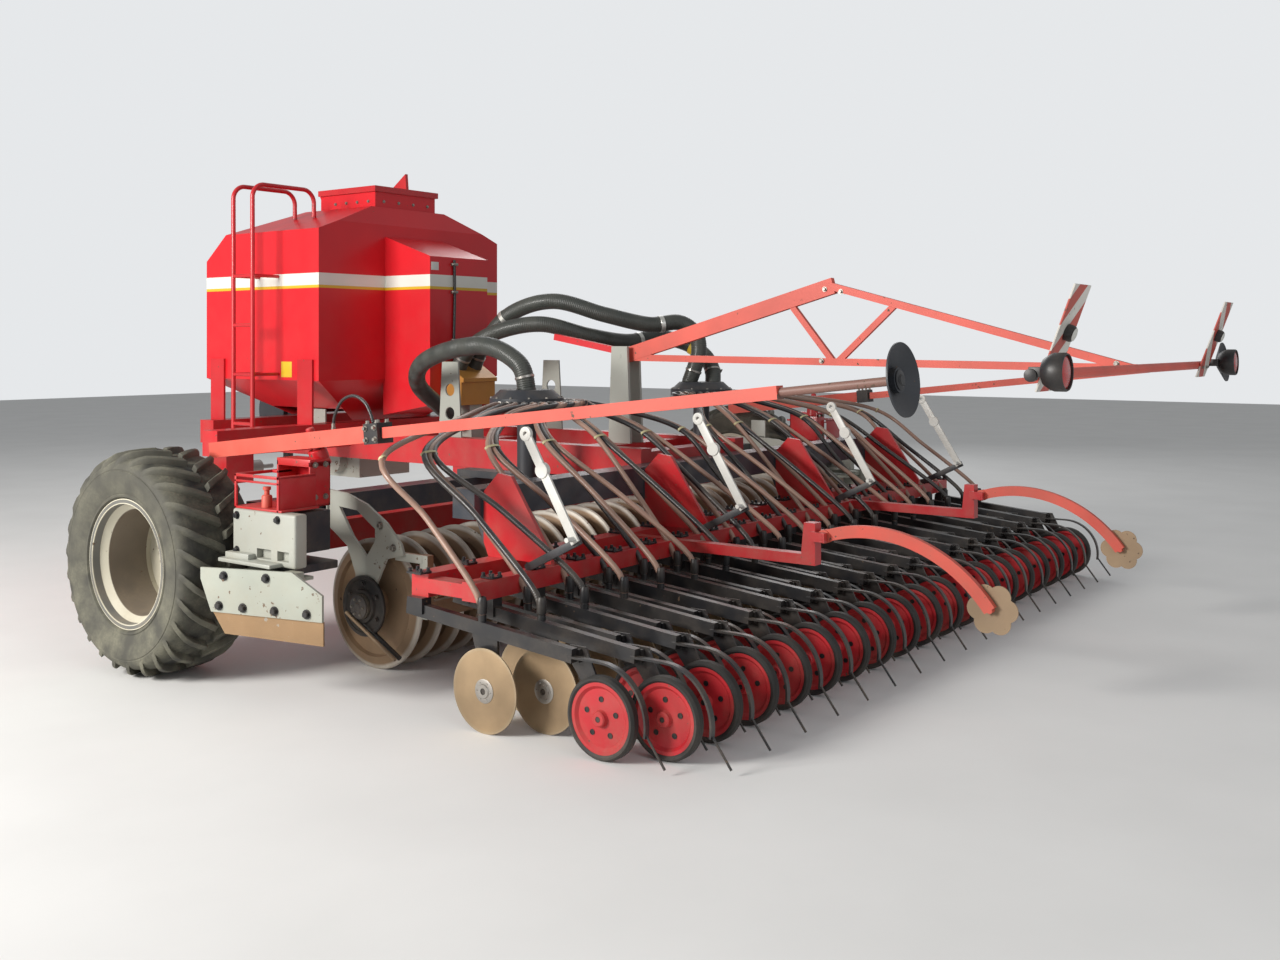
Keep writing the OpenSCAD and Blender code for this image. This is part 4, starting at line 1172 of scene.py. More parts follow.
@dataclass
class SeedHoses:
    """Smooth hoses that run in bundles of three from the distributor heads to every coulter."""

    radius: float = 0.0138
    sides: int = 12
    head_r: float = 0.21
    outlet_first: float = -8.0
    outlet_step: float = 10.0
    boot_z: float = 0.478
    seat: float = 0.0003
    tie_y: float = -1.0
    tie_z: float = 1.09
    beside: float = 0.031

    @staticmethod
    def bundle_number(row: int) -> int:
        """Number of a row's bundle, the same from either end."""
        return (min(row, COULTERS - 1 - row) + 2) // 3

    def bundle(self, index: int) -> tuple[float, float, int]:
        """The bundle that a hose runs in.

        Args:
            index: Row number.

        Returns:
            The bundle's middle, the hose's place beside it and the number of hoses.
        """
        half = range(COULTERS // 2) if index < COULTERS / 2 else range(COULTERS // 2, COULTERS)
        mates = [row for row in half if self.bundle_number(row) == self.bundle_number(index)]
        middle = sum(row_x(row) for row in mates) / len(mates)
        return middle, (mates.index(index) - (len(mates) - 1) / 2) * self.beside, len(mates)

    @staticmethod
    def boot_y(index: int) -> float:
        """Place of a row's hose end along the machine."""
        return DISC_Y - (index % 2) * ROW_STEP + 0.04

    def route(self, index: int) -> tuple[list[Vector], Vector]:
        """The route of one hose and its direction at the head.

        Args:
            index: Row number.

        Returns:
            Route points and the direction at the start.
        """
        x, y = row_x(index), self.boot_y(index)
        middle, aside, _ = self.bundle(index)
        side = Side.LEFT if x < 0 else Side.RIGHT
        angle = math.radians(self.outlet_first - min(index, COULTERS - 1 - index) * self.outlet_step)
        out = side.at(math.cos(angle), math.sin(angle), 0.0)
        start = side.at(HEAD.x, HEAD.y, HEAD.z - 0.03) + (self.head_r + 0.04 + self.seat) * out
        tie = Vector((middle + aside, self.tie_y, self.tie_z))
        last = Vector((x, y + 0.05, 0.585))
        points = [start, start + 0.1 * out, Vector((0.55 * start.x + 0.45 * tie.x, -0.74, 1.215)), tie,
                  tie.lerp(last, 0.5) + Vector((0, 0, 0.012)), last, Vector((x, y, self.boot_z + self.seat))]
        return points, out

    def walls(self, name: str, remainders: Sequence[int], finish: Finish, slot: str) -> None:
        """All hoses of one colour.

        Args:
            name: Name of the piece.
            remainders: Row numbers modulo 5 that have this colour.
            finish: Their finish.
            slot: The record's material slot.
        """
        routes = [self.route(index) for index in range(COULTERS) if index % 5 in remainders]
        runs = [(HoseShop.evenly(points, 90, 0.045), out, DOWN) for points, out in routes]
        piece = HoseShop.hoses(name, runs, lambda k: self.radius, self.sides)
        FITTER.fit(piece, finish, slot, angle=60.0, node="seed_hoses")

    def ends(self) -> None:
        """Black sleeves at the coulters and clamps at the heads."""
        sleeve = Bench.spun("sleeve", [(0.0143, -0.03), (0.019, -0.03), (0.0205, -0.025), (0.0205, 0.02),
                                       (0.017, 0.036), (0.0143, 0.04), (0.0143, -0.03)], 16)
        places = [Matrix.Translation((row_x(i), self.boot_y(i), self.boot_z + 0.034)) for i in range(COULTERS)]
        FITTER.repeat("hose_sleeves", sleeve, places, Palette.LAMP_BODY, "hose_black")
        clamp = Bench.spun("clamp", tube(0.0142, 0.0185, -0.006, 0.006), 14)
        spots = [Matrix.Translation(points[0] + 0.02 * out) @ aim(out)
                 for points, out in map(self.route, range(COULTERS))]
        FITTER.repeat("hose_head_clamps", clamp, spots, Palette.BARE, "bare_steel")

    def ties(self) -> None:
        """A pale band round each bundle where its hoses part."""
        band = Bench.spun("band", tube(0.0168, 0.0188, -0.006, 0.006), 24)
        lean = aim((0.0, -0.79, -0.61), "X")
        places = []
        for index in range(COULTERS):
            middle, aside, count = self.bundle(index)
            if abs(aside) <= 0.016 and (count == 3 or aside <= 0):
                wide = Matrix.Diagonal((1.0, 1.0 + 0.9 * (count - 1), 1.0, 1.0))
                places.append(Matrix.Translation((middle, self.tie_y, self.tie_z)) @ lean @ wide)
        FITTER.repeat("hose_ties", band, places, Palette.TIE, "board_white")

    def build(self) -> None:
        """Builds and dresses the hoses."""
        self.walls("seed_hoses_brown", (0, 2, 4), Palette.PINK_HOSE, "hose_pink")
        self.walls("seed_hoses_black", (1, 3), Palette.DARK_HOSE, "hose_black")
        self.ends()
        self.ties()


@dataclass
class HeadDressing:
    """Bolts and rims of the two distributor heads."""

    bolt_r: float = 0.2

    def build(self) -> None:
        """Adds a ring of bolts round each head and a rim on its edge."""
        spots = [(side.at(HEAD.x, HEAD.y + s, HEAD.z - 0.002) + X * c, Z)
                 for side in Side for c, s in circle(self.bolt_r, 12, 15.0)]
        Fastener(0.013, 0.007, 1.2).place("head_bolts", spots)
        rim = Bench.spun("rim", [(0.2102, -0.058), (0.2135, -0.056), (0.2135, -0.05), (0.2102, -0.046),
                                 (0.2102, -0.058)], 64)
        places = [Matrix.Translation(side.at(*HEAD)) for side in Side]
        FITTER.repeat("head_rims", rim, places, Palette.BARE, "bare_steel")


@dataclass
class HopperDressing:
    """Bolts, blank labels and the strap on the hopper."""

    half_width: float = 0.86
    collar_x: float = 0.288
    collar_y: float = 1.492
    bolt_z: float = 2.595
    nose_y: float = 0.96
    strap_x: float = -0.06
    strap: tuple[Span, ...] = ((0.0, 2.17), (0.004, 1.9), (-0.004, 1.6), (0.006, 1.4), (0.0, 1.22))
    clips: tuple[float, ...] = (1.3, 1.62, 1.95, 2.14)

    def bolts(self) -> None:
        """Bolts round the hatch collar."""
        spots = [(side.at(self.collar_x, self.collar_y + 0.07 + k * 0.115, self.bolt_z), side.way)
                 for side in Side for k in range(4)]
        spots += [((-0.21 + k * 0.14, self.collar_y, self.bolt_z), -Y) for k in range(4)]
        Fastener(0.016, 0.008).place("collar_bolts", spots)

    def labels(self) -> None:
        """Blank labels on the left wall and on the nose."""
        far, near = 0.0012, 0.0002
        sticker = Bench.block("blank_label_yellow", (-self.half_width - far, 1.675, 1.37),
                              (-self.half_width - near, 1.785, 1.475), 0.0004)
        FITTER.fit(sticker, Palette.YELLOW, "board_white")
        plate = Bench.block("blank_label_white", (-0.27, self.nose_y - far, 2.095),
                            (-0.2, self.nose_y - near, 2.15), 0.0004)
        FITTER.fit(plate, Palette.WHITE, "board_white")

    def cable(self) -> None:
        """Black cable that hangs down the rear of the nose, with its clips."""
        points = [Vector((self.strap_x + aside, self.nose_y - 0.011, z)) for aside, z in self.strap]
        cable = HoseShop.hoses("nose_cable", [(HoseShop.route(points, 48), DOWN, DOWN)], lambda k: 0.0095, 12)
        FITTER.fit(cable, Palette.DARK_HOSE, "hose_black", angle=60.0)
        clip = Bench.block("clip", (-0.026, -0.024, -0.009), (0.026, -0.0005, 0.009))
        Bench.inset(clip, -Y, 0.004, 0.002)
        Bench.bevel(clip, 0.002)
        places = [Matrix.Translation((self.strap_x, self.nose_y, z)) for z in self.clips]
        FITTER.repeat("nose_cable_clips", clip, places, Palette.BOLT, "bare_steel")

    def build(self) -> None:
        """Builds and dresses the pieces."""
        self.bolts()
        self.labels()
        self.cable()


@dataclass
class WheelDressing:
    """Hub cap, nuts and groove of one carrying wheel."""

    side: Side
    boss_face: float = 0.065
    plate_face: float = 0.111
    bolt_circle: float = 0.112
    lip_face: float = 0.185
    groove: Span = (0.2925, 0.3075)

    def build(self) -> None:
        """Builds the pieces, which turn with the wheel."""
        word, way, body = self.side.word, self.side.way, f"wheel_{self.side.word}"
        profile = [(0.0, 0.048), (0.02, 0.047), (0.038, 0.04), (0.048, 0.024), (0.052, 0.01), (0.066, 0.008),
                   (0.07, 0.004), (0.07, 0.0003), (0.0, 0.0003)]
        cap = Bench.spun(f"hub_cap_{word}", profile, 48, self.side.at(WHEEL_X - self.boss_face, AXLE_Y, TYRE_R), way)
        FITTER.fit(cap, Palette.RIM, "wheel_paint", body)
        spots = [(self.side.at(WHEEL_X - self.plate_face, AXLE_Y + c, TYRE_R + s), way)
                 for c, s in circle(self.bolt_circle, 8, 22.5)]
        Fastener(0.034, 0.022, 1.3).place(f"wheel_nuts_{word}", spots, body, Palette.RIM_GROOVE, "wheel_paint")
        groove = Bench.spun(f"rim_groove_{word}", tube(*self.groove, 0.0002, 0.0014), 96,
                            self.side.at(WHEEL_X + self.lip_face, AXLE_Y, TYRE_R), way)
        FITTER.fit(groove, Palette.RIM_GROOVE, "wheel_paint", body)


@dataclass
class RollerDressing:
    """Bearing covers, scraper fingers and bracket bolts of the packer roller."""

    end_x: float = 2.17
    rings: int = 30
    first_x: float = -2.06
    ring_step: float = 4.12 / 29
    bracket_x: float = 2.134
    bracket_bolts: tuple[Span, ...] = ((-0.16, 0.83), (-0.16, 0.74), (-0.6, 0.72), (-0.69, 0.62))

    def build(self) -> None:
        """Builds and dresses the pieces."""
        cover = Bench.spun("cover", [(0.0, 0.02), (0.018, 0.02), (0.024, 0.014), (0.05, 0.012), (0.057, 0.008),
                                     (0.057, 0.0003), (0.0, 0.0003)], 40)
        places = [Matrix.Translation(side.at(self.end_x, ROLLER_Y, ROLLER_R)) @ aim(side.way) for side in Side]
        FITTER.repeat("bearing_covers", cover, places, Palette.DARK, "dark_paint")
        spots = [(side.at(self.end_x + 0.0115, ROLLER_Y + c, ROLLER_R + s), side.way)
                 for side in Side for c, s in circle(0.04, 6)]
        Fastener(0.012, 0.006, 1.2).place("bearing_bolts", spots)
        finger = Bench.block("finger", (-0.024, -0.004, -0.016), (0.024, 0.1, -0.008), 0.003)
        bolt = Fastener(0.016, 0.009).pattern()
        bolt.data.transform(Matrix.Translation((0, 0.012, -0.008)))
        places = [Matrix.Translation((self.first_x + (k + 0.5) * self.ring_step, ROLLER_Y - 0.37, 0.3965))
                  for k in range(self.rings - 1)]
        FITTER.repeat("scraper_fingers", Bench.join("finger", finger, bolt), places, Palette.BLADE, "worn_steel")
        bolts = [(side.at(self.bracket_x, y, z), side.way) for side in Side for y, z in self.bracket_bolts]
        Fastener(0.026, 0.013).place("roller_bracket_bolts", bolts)


@dataclass
class TyreModel:
    """Wide flotation tyre with a rounded shoulder and slanting lugs."""

    side: Side
    lugs: int = 26
    sweep: float = 0.3
    sink: float = 0.008
    wall: tuple[Span, ...] = (
        (0.3004, 0.145), (0.3146, 0.181), (0.322, 0.193), (0.331, 0.1945), (0.336, 0.19), (0.36, 0.2),
        (0.4, 0.2105), (0.43, 0.2135), (0.447, 0.213), (0.4495, 0.2098), (0.4525, 0.2096), (0.455, 0.2115),
        (0.475, 0.206), (0.487, 0.193), (0.5, 0.172), (0.509, 0.13), (0.513, 0.07), (0.5145, 0.0))
    crest: tuple[tuple[float, float, float, float], ...] = (
        (0.006, 0.514, 0.0305, 0.044), (0.06, 0.513, 0.0315, 0.04), (0.115, 0.5095, 0.032, 0.037),
        (0.155, 0.5035, 0.032, 0.036), (0.182, 0.4935, 0.0265, 0.036), (0.2, 0.4825, 0.0165, 0.034),
        (0.209, 0.468, 0.003, 0.03))

    def carcass(self) -> bpy.types.Object:
        """The closed wall, spun round the axle."""
        left = [(radius, -width) for radius, width in self.wall[:-1]]
        return Bench.spun("carcass", left + list(reversed(self.wall)) + left[:1], 96)

    def lug(self) -> bpy.types.Object:
        """One lug, extruded in steps and then laid along the tread."""
        last = len(self.crest) - 1
        lug = Bench.block("lug", (0, -0.5, 0), (1, 0.5, 1))
        for _ in range(last - 1):
            Bench.extrude(lug, X, 1.0)
        for vertex in lug.data.vertices:
            index = min(max(round(vertex.co.x), 0), last)
            width, radius, height, thick = self.crest[index]
            high = vertex.co.z > 0.5
            narrow = 0.4 if high else 0.5
            angle = self.sweep * (1 - index / last) ** 1.25 + math.copysign(narrow, vertex.co.y) * thick / radius
            reach = radius + (height if high else -self.sink)
            vertex.co = Vector((reach * math.cos(angle), reach * math.sin(angle), width))
        Bench.outward(lug)
        Bench.bevel(lug, 0.0035, 1, 50.0)
        return lug

    def build(self) -> None:
        """Builds the wall and the tread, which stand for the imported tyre."""
        word = self.side.word
        place = Matrix.Translation(self.side.at(WHEEL_X, AXLE_Y, TYRE_R)) @ Matrix.Rotation(math.pi / 2, 4, "Y")
        turns = [place @ Matrix.Rotation(2 * math.pi * (k + half / 2) / self.lugs, 4, "Z") @ Matrix.Scale(flip, 4, Z)
                 for half, flip in ((0, 1), (1, -1)) for k in range(self.lugs)]
        wall = Bench.copies(f"tyre_wall_{word}", self.carcass(), [place])
        tread = Bench.copies(f"tyre_lugs_{word}", self.lug(), turns)
        for piece, finish in ((wall, Palette.TYRE_WALL), (tread, Palette.TYRE)):
            FITTER.fit(piece, finish, "tyre_rubber", f"wheel_{word}", 42.0, f"tyre_{word}")


@dataclass
class MarkerPost:
    """Open welded frame that carries a marker's hinge, with its pin, boss and small cylinder."""

    x: Span = (2.39, 2.51)
    outer_x: float = 2.71
    y: Span = (-0.54, -0.3)
    window_y: Span = (-0.57, -0.25)
    z: Span = (0.8403, 1.06)
    window_top: float = 1.0
    bar: float = 0.014
    plate: float = 0.01
    pin: Point = (0.323752, 0.105465, 0.940245)

    def _bars(self) -> list[tuple[Point, Point]]:
        """Corners of every plate and bar of one frame."""
        (x0, x1), (y0, y1), (z0, z1), (w0, w1) = self.x, self.y, self.z, self.window_y
        xo, zt, t, p = self.outer_x, self.window_top, self.bar, self.plate
        return [
            ((x0, y0, z0), (x1, y1, z0 + t)), ((x1 - t, w0 - 0.02, z0), (xo, w1, z0 + p)),
            ((x0, y0, z1 - 0.034), (x1, y1, z1)), ((x0, y0, z0), (x1, y0 + p, z1 - p)),
            ((x0, y0, z0), (x0 + p, y1, z1 - p)), ((x0, y1 - p, z0), (x1, y1, z1 - p)),
            ((x1 - p, w0, z0), (xo - p, w0 + 0.008, zt - 0.002)), ((xo - p, w0, z0), (xo, w0 + t, zt)),
            ((xo - p, w1 - t, z0), (xo, w1, zt)), ((xo - p, w0, zt - t), (xo, w1, zt)),
            ((xo - p, w0, 0.962), (xo, w1, 0.972)), ((x1 - p, w1 - t, zt - t), (xo, w1, zt)),
            ((x1 - p, w0, zt - t), (xo, w0 + t, zt)), ((x0 + 0.04, y1 - p, zt - t), (x1, w1, zt)),
            ((x0 + 0.04, y1 - p, z0), (x1, w1, z0 + p))]

    def build(self) -> None:
        """Builds both frames as one piece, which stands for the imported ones, and their cylinders."""
        way = Vector(self.pin).normalized()
        parts = [Bench.block("bar", low, high, 0.002) for low, high in self._bars()]
        parts.append(Bench.spun("pin", [(0.0, -0.13), (0.0195, -0.13), (0.0195, 0.056), (0.016, 0.06), (0.0, 0.06)],
                                32, MARKER_PIVOT, way))
        parts.append(Bench.spun("boss", [(0.0, -0.13), (0.042, -0.13), (0.044, -0.126), (0.044, -0.05),
                                         (0.04, -0.046), (0.0, -0.046)], 40, MARKER_PIVOT, way))
        FITTER.repeat("marker_posts", Bench.join("marker_post", *parts), BOTH, Palette.FRAME, "red_paint",
                      node="marker_mounts")
        ram = Bench.spun("ram", [(0.0, 0.0), (0.024, 0.0), (0.024, 0.05), (0.02, 0.056), (0.012, 0.058),
                                 (0.012, 0.078), (0.018, 0.08), (0.018, 0.094), (0.0, 0.096)], 28,
                         (self.outer_x - 0.045, -0.43, self.z[0] + self.plate + 0.0002))
        FITTER.repeat("marker_rams", ram, BOTH, Palette.FADED, "faded_red_paint")


@dataclass
class SideBox:
    """Narrow grey box below a marker post, with its stepped foot and a link to the frame that is coloured dark as
    painted shade.
    """

    x: Span = (2.65, 2.72)
    y: Span = (-0.697, -0.25)
    z: Span = (0.6, 0.84)
    holes: tuple[Span, ...] = ((-0.53, -0.43), (-0.655, -0.575))
    hole_z: Span = (0.628, 0.672)
    foot_x: Span = (2.6, 2.79)
    foot_y: Span = (-0.61, -0.238)

    def build(self) -> None:
        """Builds both boxes and their links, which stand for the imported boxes."""
        (x0, x1), (y0, y1), (z0, z1), (f0, f1), (g0, g1) = self.x, self.y, self.z, self.foot_x, self.foot_y
        shell = Bench.block("shell", (x0, y0, z0), (x1, y1, z1), 0.012, 4)
        for low, high in self.holes:
            Bench.cut(shell, Bench.block("cutter", (x1 - 0.03, low, self.hole_z[0]), (x1 + 0.02, high, self.hole_z[1])))
        foot = Bench.block("foot", (f0, g0, z0 + 0.003), (f1, g1, z0 + 0.021), 0.004)
        step = Bench.block("step", (x1 - 0.04, -0.42, z0 + 0.019), (f1 - 0.03, g1 - 0.012, z0 + 0.046), 0.004)
        FITTER.repeat("side_box_shells", Bench.join("side_box", shell, foot, step), BOTH, Palette.GREY,
                      "grey_paint", node="side_boxes")
        # Painted shade: the link, arm and tray are dark grey so that they stand for the shadow behind and below the
        # box.
        parts = [Bench.block(name, low, high, 0.006) for name, low, high in (
            ("link", (2.38, -0.53, 0.63), (x0 + 0.02, -0.36, 0.82)),
            ("arm", (2.38, -0.4, 0.72), (2.46, -0.1103, 0.81)), ("tray", (2.36, -0.56, 0.545), (2.62, -0.24, 0.583)))]
        FITTER.repeat("side_box_links", Bench.join("side_link", *parts), BOTH, Palette.DARK, "dark_paint",
                      node="side_boxes")


@dataclass
class LeaningStruts:
    """Pale flat struts that lean forward over the coulter frame and steady the hose bundles."""

    foot: Span = (-1.8, 0.745)
    top: Span = (-1.52, 1.2)
    bar: Span = (-1.51, 0.605)
    wide: float = 0.046
    thick: float = 0.012
    places: tuple[float, ...] = (-2.12, -0.75, 0.75, 2.12)

    @staticmethod
    def _lean(along: float, up: float) -> Matrix:
        """Turn about X that lays Z along a line given by its run and its rise."""
        return Matrix.Rotation(-math.atan2(along, up), 4, "X")

    def build(self) -> None:
        """Builds the four struts and their arms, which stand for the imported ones."""
        (y0, z0), (y1, z1), (yb, zb) = self.foot, self.top, self.bar
        length = math.hypot(y1 - y0, z1 - z0)
        bar = Bench.block("bar", (-self.thick / 2, -self.wide / 2, 0), (self.thick / 2, self.wide / 2, length), 0.002)
        eye = Bench.spun("eye", tube(0.011, 0.032, -0.009, 0.009), 28, (0, 0, length), X)
        Bench.bevel(eye, 0.002)
        knee = Bench.spun("knee", rod(0.034, -0.012, 0.012), 24, (0, 0, length * 0.66), X)
        pin = Bench.spun("pin", rod(0.011, -0.05, 0.02), 20, (0, 0, 0.02), X)
        places = [Matrix.Translation((x, y0, z0)) @ self._lean(y1 - y0, z1 - z0) for x in self.places]
        FITTER.repeat("leaning_struts", Bench.join("strut", bar, eye, knee, pin), places, Palette.WHITE,
                      "bare_steel", node="hose_stands")
        reach = math.hypot(y0 - yb, z0 - 0.6)
        arm = Bench.block("arm", (-0.006, -0.018, 0), (0.006, 0.018, reach + 0.02), 0.002)
        spots = [Matrix.Translation((x + 0.0125, yb, zb)) @ self._lean(y0 - yb, z0 - 0.6) for x in self.places]
        FITTER.repeat("strut_arms", arm, spots, Palette.DARK, "dark_paint", node="hose_stands")


@dataclass
class RearBoards:
    """Wide striped boards, tilted to the rear, with reflectors and holders."""

    half_width: float = 0.1
    low: float = -0.06
    high: float = 0.385
    lamp_z: float = 0.19

    @staticmethod
    def frame(side: Side) -> Matrix:
        """Where a board's own axes lie: Z up along it, Y towards the arm."""
        y, z = CROSS_ARM
        place = side.at(BOARD_X, y - BOARD_LEAN * math.cos(BOARD_TILT), z - BOARD_LEAN * math.sin(BOARD_TILT))
        return Matrix.Translation(place) @ Matrix.Rotation(BOARD_TILT, 4, "X")

    def build(self) -> None:
        """Builds the boards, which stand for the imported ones."""
        frames, lamp_at = [self.frame(side) for side in Side], (0, -BOARD_THICK, self.lamp_z)
        board = Bench.block("board", (-self.half_width, -BOARD_THICK, self.low), (self.half_width, 0, self.high))
        Bench.inset(board, -Y, 0.004, -0.0008)
        Bench.bevel(board, 0.0015)
        FITTER.repeat("warning_boards", board, frames, Palette.BOARD, "board_white", node="light_boards")
        lamp = Bench.spun("lamp", [(0.0, 0.034), (0.02, 0.033), (0.031, 0.028), (0.034, 0.02), (0.034, 0.0),
                                   (0.0, 0.0)], 32, lamp_at, -Y)
        FITTER.repeat("board_reflectors", lamp, frames, Palette.LAMP_BODY, "lamp_black")
        glass = Bench.spun("glass", [(0.0, 0.038), (0.016, 0.0372), (0.027, 0.0335), (0.027, 0.032), (0.0, 0.032)],
                           28, lamp_at, -Y)
        FITTER.repeat("board_reflector_glasses", glass, frames, Palette.WHITE, "board_white")
        holder = Bench.block("holder", (-0.03, 0.0002, 0.0), (0.03, 0.005, 0.3), 0.0012, 1)
        FITTER.repeat("board_holders", holder, frames, Palette.DARK, "dark_paint")


@dataclass
class RearLamps:
    """Round rear lamps on the ends of the light truss's cross arm."""

    x: float = 1.52
    z: float = 1.49
    rear: float = -3.698
    radius: float = 0.074
    depth: float = 0.098

    def build(self) -> None:
        """Builds the lamps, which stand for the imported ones."""
        r, d, (y, arm_z) = self.radius, self.depth, CROSS_ARM
        shell = Bench.spun("shell", [(0.0, 0.0), (0.03, 0.0), (0.052, 0.01), (0.068, 0.034), (r, 0.05), (r, d - 0.006),
                                     (r - 0.003, d), (r - 0.008, d), (r - 0.009, d - 0.012), (0.0, d - 0.012)],
                           48, (self.x, self.rear + d, self.z), -Y)
        collar = Bench.cylinder("collar", 0.026, 0.03, (1.4653, y, arm_z), X, 28)
        Bench.bevel(collar, 0.003)
        holder = Bench.block("holder", (1.458, y - 0.075, self.z - 0.022), (1.474, y + 0.01, self.z + 0.018), 0.003)
        FITTER.repeat("round_lamps", Bench.join("lamp", shell, collar, holder), BOTH, Palette.LAMP_BODY,
                      "lamp_black", node="lamps")
        glass = Bench.spun("glass", [(0.0, 0.01), (0.03, 0.0085), (0.055, 0.004), (0.064, -0.001),
                                     (0.064, -0.003), (0.0, -0.003)], 44, (self.x, self.rear + 0.0085, self.z), -Y)
        FITTER.repeat("round_lamp_lenses", glass, BOTH, Palette.LAMP_RED, "lamp_black")


@dataclass
class HubFlange:
    """Black bearing flange, two short bars and an upright plate on each end bracket of the packer roller."""

    face: float = 2.1344
    radius: float = 0.148
    bar_near: Span = (-0.393, 0.283)
    bar_far: Span = (-0.74, 0.1)
    ear_bolts: tuple[Span, ...] = ((-0.19, 0.79), (-0.09, 0.79), (-0.19, 0.96), (-0.135, 0.96))

    def flanges(self) -> None:
        """The flanges with their bolts."""
        r = self.radius
        disc = Bench.spun("disc", [(0.0632, 0.0), (r, 0.0), (r, 0.012), (r - 0.004, 0.016), (r - 0.018, 0.016),
                                   (r - 0.022, 0.01), (0.085, 0.01), (0.08, 0.024), (0.0632, 0.024),
                                   (0.0632, 0.0)], 64)
        bolts = Bench.copies("bolts", Fastener(0.02, 0.01).pattern(),
                             [Matrix.Translation((c, s, 0.01)) for c, s in circle(0.108, 6, 30.0)])
        places = [Matrix.Translation(side.at(self.face, ROLLER_Y, ROLLER_R)) @ aim(side.way) for side in Side]
        FITTER.repeat("bearing_flanges", Bench.join("flange", disc, bolts), places, Palette.LAMP_BODY,
                      "black_steel")

    def bars(self) -> None:
        """A black and a pale bar that slant down to the rear from each hub."""
        near, far = Vector((self.face + 0.022, *self.bar_near)), Vector((self.face + 0.022, *self.bar_far))
        line = far - near
        place = Matrix.Translation(near) @ aim(line, "X")
        for name, finish, slot, aside, wide in (("hub_bars_black", Palette.LAMP_BODY, "black_steel", 0.016, 0.012),
                                                ("hub_bars_pale", Palette.LOBE, "worn_steel", -0.014, 0.009)):
            bar = Bench.spun("bar", [(0.0, 0.0), (wide - 0.002, 0.0), (wide, 0.002), (wide, line.length),
                                     (0.0, line.length)], 18, (0, aside, 0))
            FITTER.repeat(name, bar, [turn @ place for turn in BOTH], finish, slot)

    def ears(self) -> None:
        """Upright stepped plates bolted to the outer faces of the roller brackets."""
        inner, outer = self.face + 0.0004, self.face + 0.0124
        upright = Bench.block("upright", (inner, -0.225, 0.73), (outer, -0.1, 1.0), 0.003)
        step = Bench.block("step", (inner, -0.22, 0.765), (outer, -0.035, 0.88), 0.003)
        FITTER.repeat("bracket_ears", Bench.join("ear", upright, step), BOTH, Palette.GREY, "grey_paint")
        spots = [(side.at(outer, y, z), side.way) for side in Side for y, z in self.ear_bolts]
        Fastener(0.022, 0.01).place("ear_bolts", spots, finish=Palette.BLACK_STEEL, slot="black_steel")

    def build(self) -> None:
        """Builds and dresses the pieces."""
        self.flanges()
        self.bars()
        self.ears()


@dataclass
class LineLoop:
    """Thin hydraulic line that loops above the left marker arm's root."""

    radius: float = 0.007
    points: list[Vector] = field(default_factory=lambda: vectors(
        (-2440, -620, 1218), (-2440, -632, 1270), (-2440, -680, 1335), (-2440, -760, 1360), (-2440, -835, 1330),
        (-2440, -878, 1270), (-2440, -895, 1220), (-2440, -900, 1195.5)))

    def build(self) -> None:
        """Builds the loop, held at both ends."""
        run = (HoseShop.route(self.points, 40), Vector((0, -0.2, 1)), Vector((0, -0.1, -1)))
        line = HoseShop.hoses("marker_line", [run], lambda k: self.radius, 12)
        FITTER.fit(line, Palette.DARK_HOSE, "hose_black", "marker_left", 60.0)
        ferrule = Bench.spun("ferrule", [(0.0, -0.02), (0.0105, -0.02), (0.0105, -0.006), (0.0085, -0.004),
                                         (0.0085, 0.014), (0.0, 0.014)], 16)
        places = [Matrix.Translation((-2.44, -0.62, 1.215)), Matrix.Translation((-2.44, -0.9, 1.2))]
        FITTER.repeat("marker_line_ferrules", ferrule, places, Palette.BOLT, "bare_steel", "marker_left")


@dataclass
class SideDressing:
    """Bolts of the side boxes, marker posts and levelling boards."""

    box_x: float = 2.72
    box_bolts: tuple[Span, ...] = ((-0.577, 0.81), (-0.285, 0.81), (-0.285, 0.65))
    post_y: float = -0.54
    post_bolts: tuple[Span, ...] = ((2.42, 0.885), (2.42, 1.035), (2.48, 0.885), (2.48, 1.035))
    board_front: Span = (2.88, -0.245)
    board_rear: Span = (2.725, -0.89)
    board_half: float = 0.007
    board_bolts: tuple[Span, ...] = ((0.16, 0.425), (0.36, 0.425), (0.62, 0.425), (0.88, 0.425), (0.2, 0.56),
                                     (0.55, 0.565))

    def _on_board(self, side: Side) -> Spots:
        """Bolt places on one levelling board's outer face, by share of its length and by height."""
        front, rear = side.at(*self.board_front, 0), side.at(*self.board_rear, 0)
        line = rear - front
        way = line.normalized()
        outward = Vector((-way.y, way.x, 0)) * (1 if way.y * side.value < 0 else -1)
        return [(front + line.length * share * way + outward * self.board_half + Z * z, outward)
                for share, z in self.board_bolts]

    def build(self) -> None:
        """Builds and dresses the pieces."""
        black = {"finish": Palette.BLACK_STEEL, "slot": "black_steel"}
        boxes = [(side.at(self.box_x, y, z), side.way) for side in Side for y, z in self.box_bolts]
        Fastener(0.026, 0.013).place("side_box_bolts", boxes, **black)
        Fastener(0.03, 0.014).place("board_bolts", [spot for side in Side for spot in self._on_board(side)], **black)
        posts = [(side.at(x, self.post_y, z), -Y) for side in Side for x, z in self.post_bolts]
        Fastener(0.02, 0.01).place("marker_post_bolts", posts)


@dataclass(frozen=True)
class Row:
    """One of the two rows of coulters, with the toolbar that it hangs on."""

    name: str
    first: int
    step_back: float
    bar_rear: float
    bar_front: float
    bar_top: float

    def places(self, x: float = 0.0, y: float = 0.0, z: float = 0.0) -> list[Vector]:
        """The same point of every coulter of the row, x being counted from its middle plane."""
        return [Vector((row_x(i) + x, y, z)) for i in range(self.first, COULTERS, 2)]


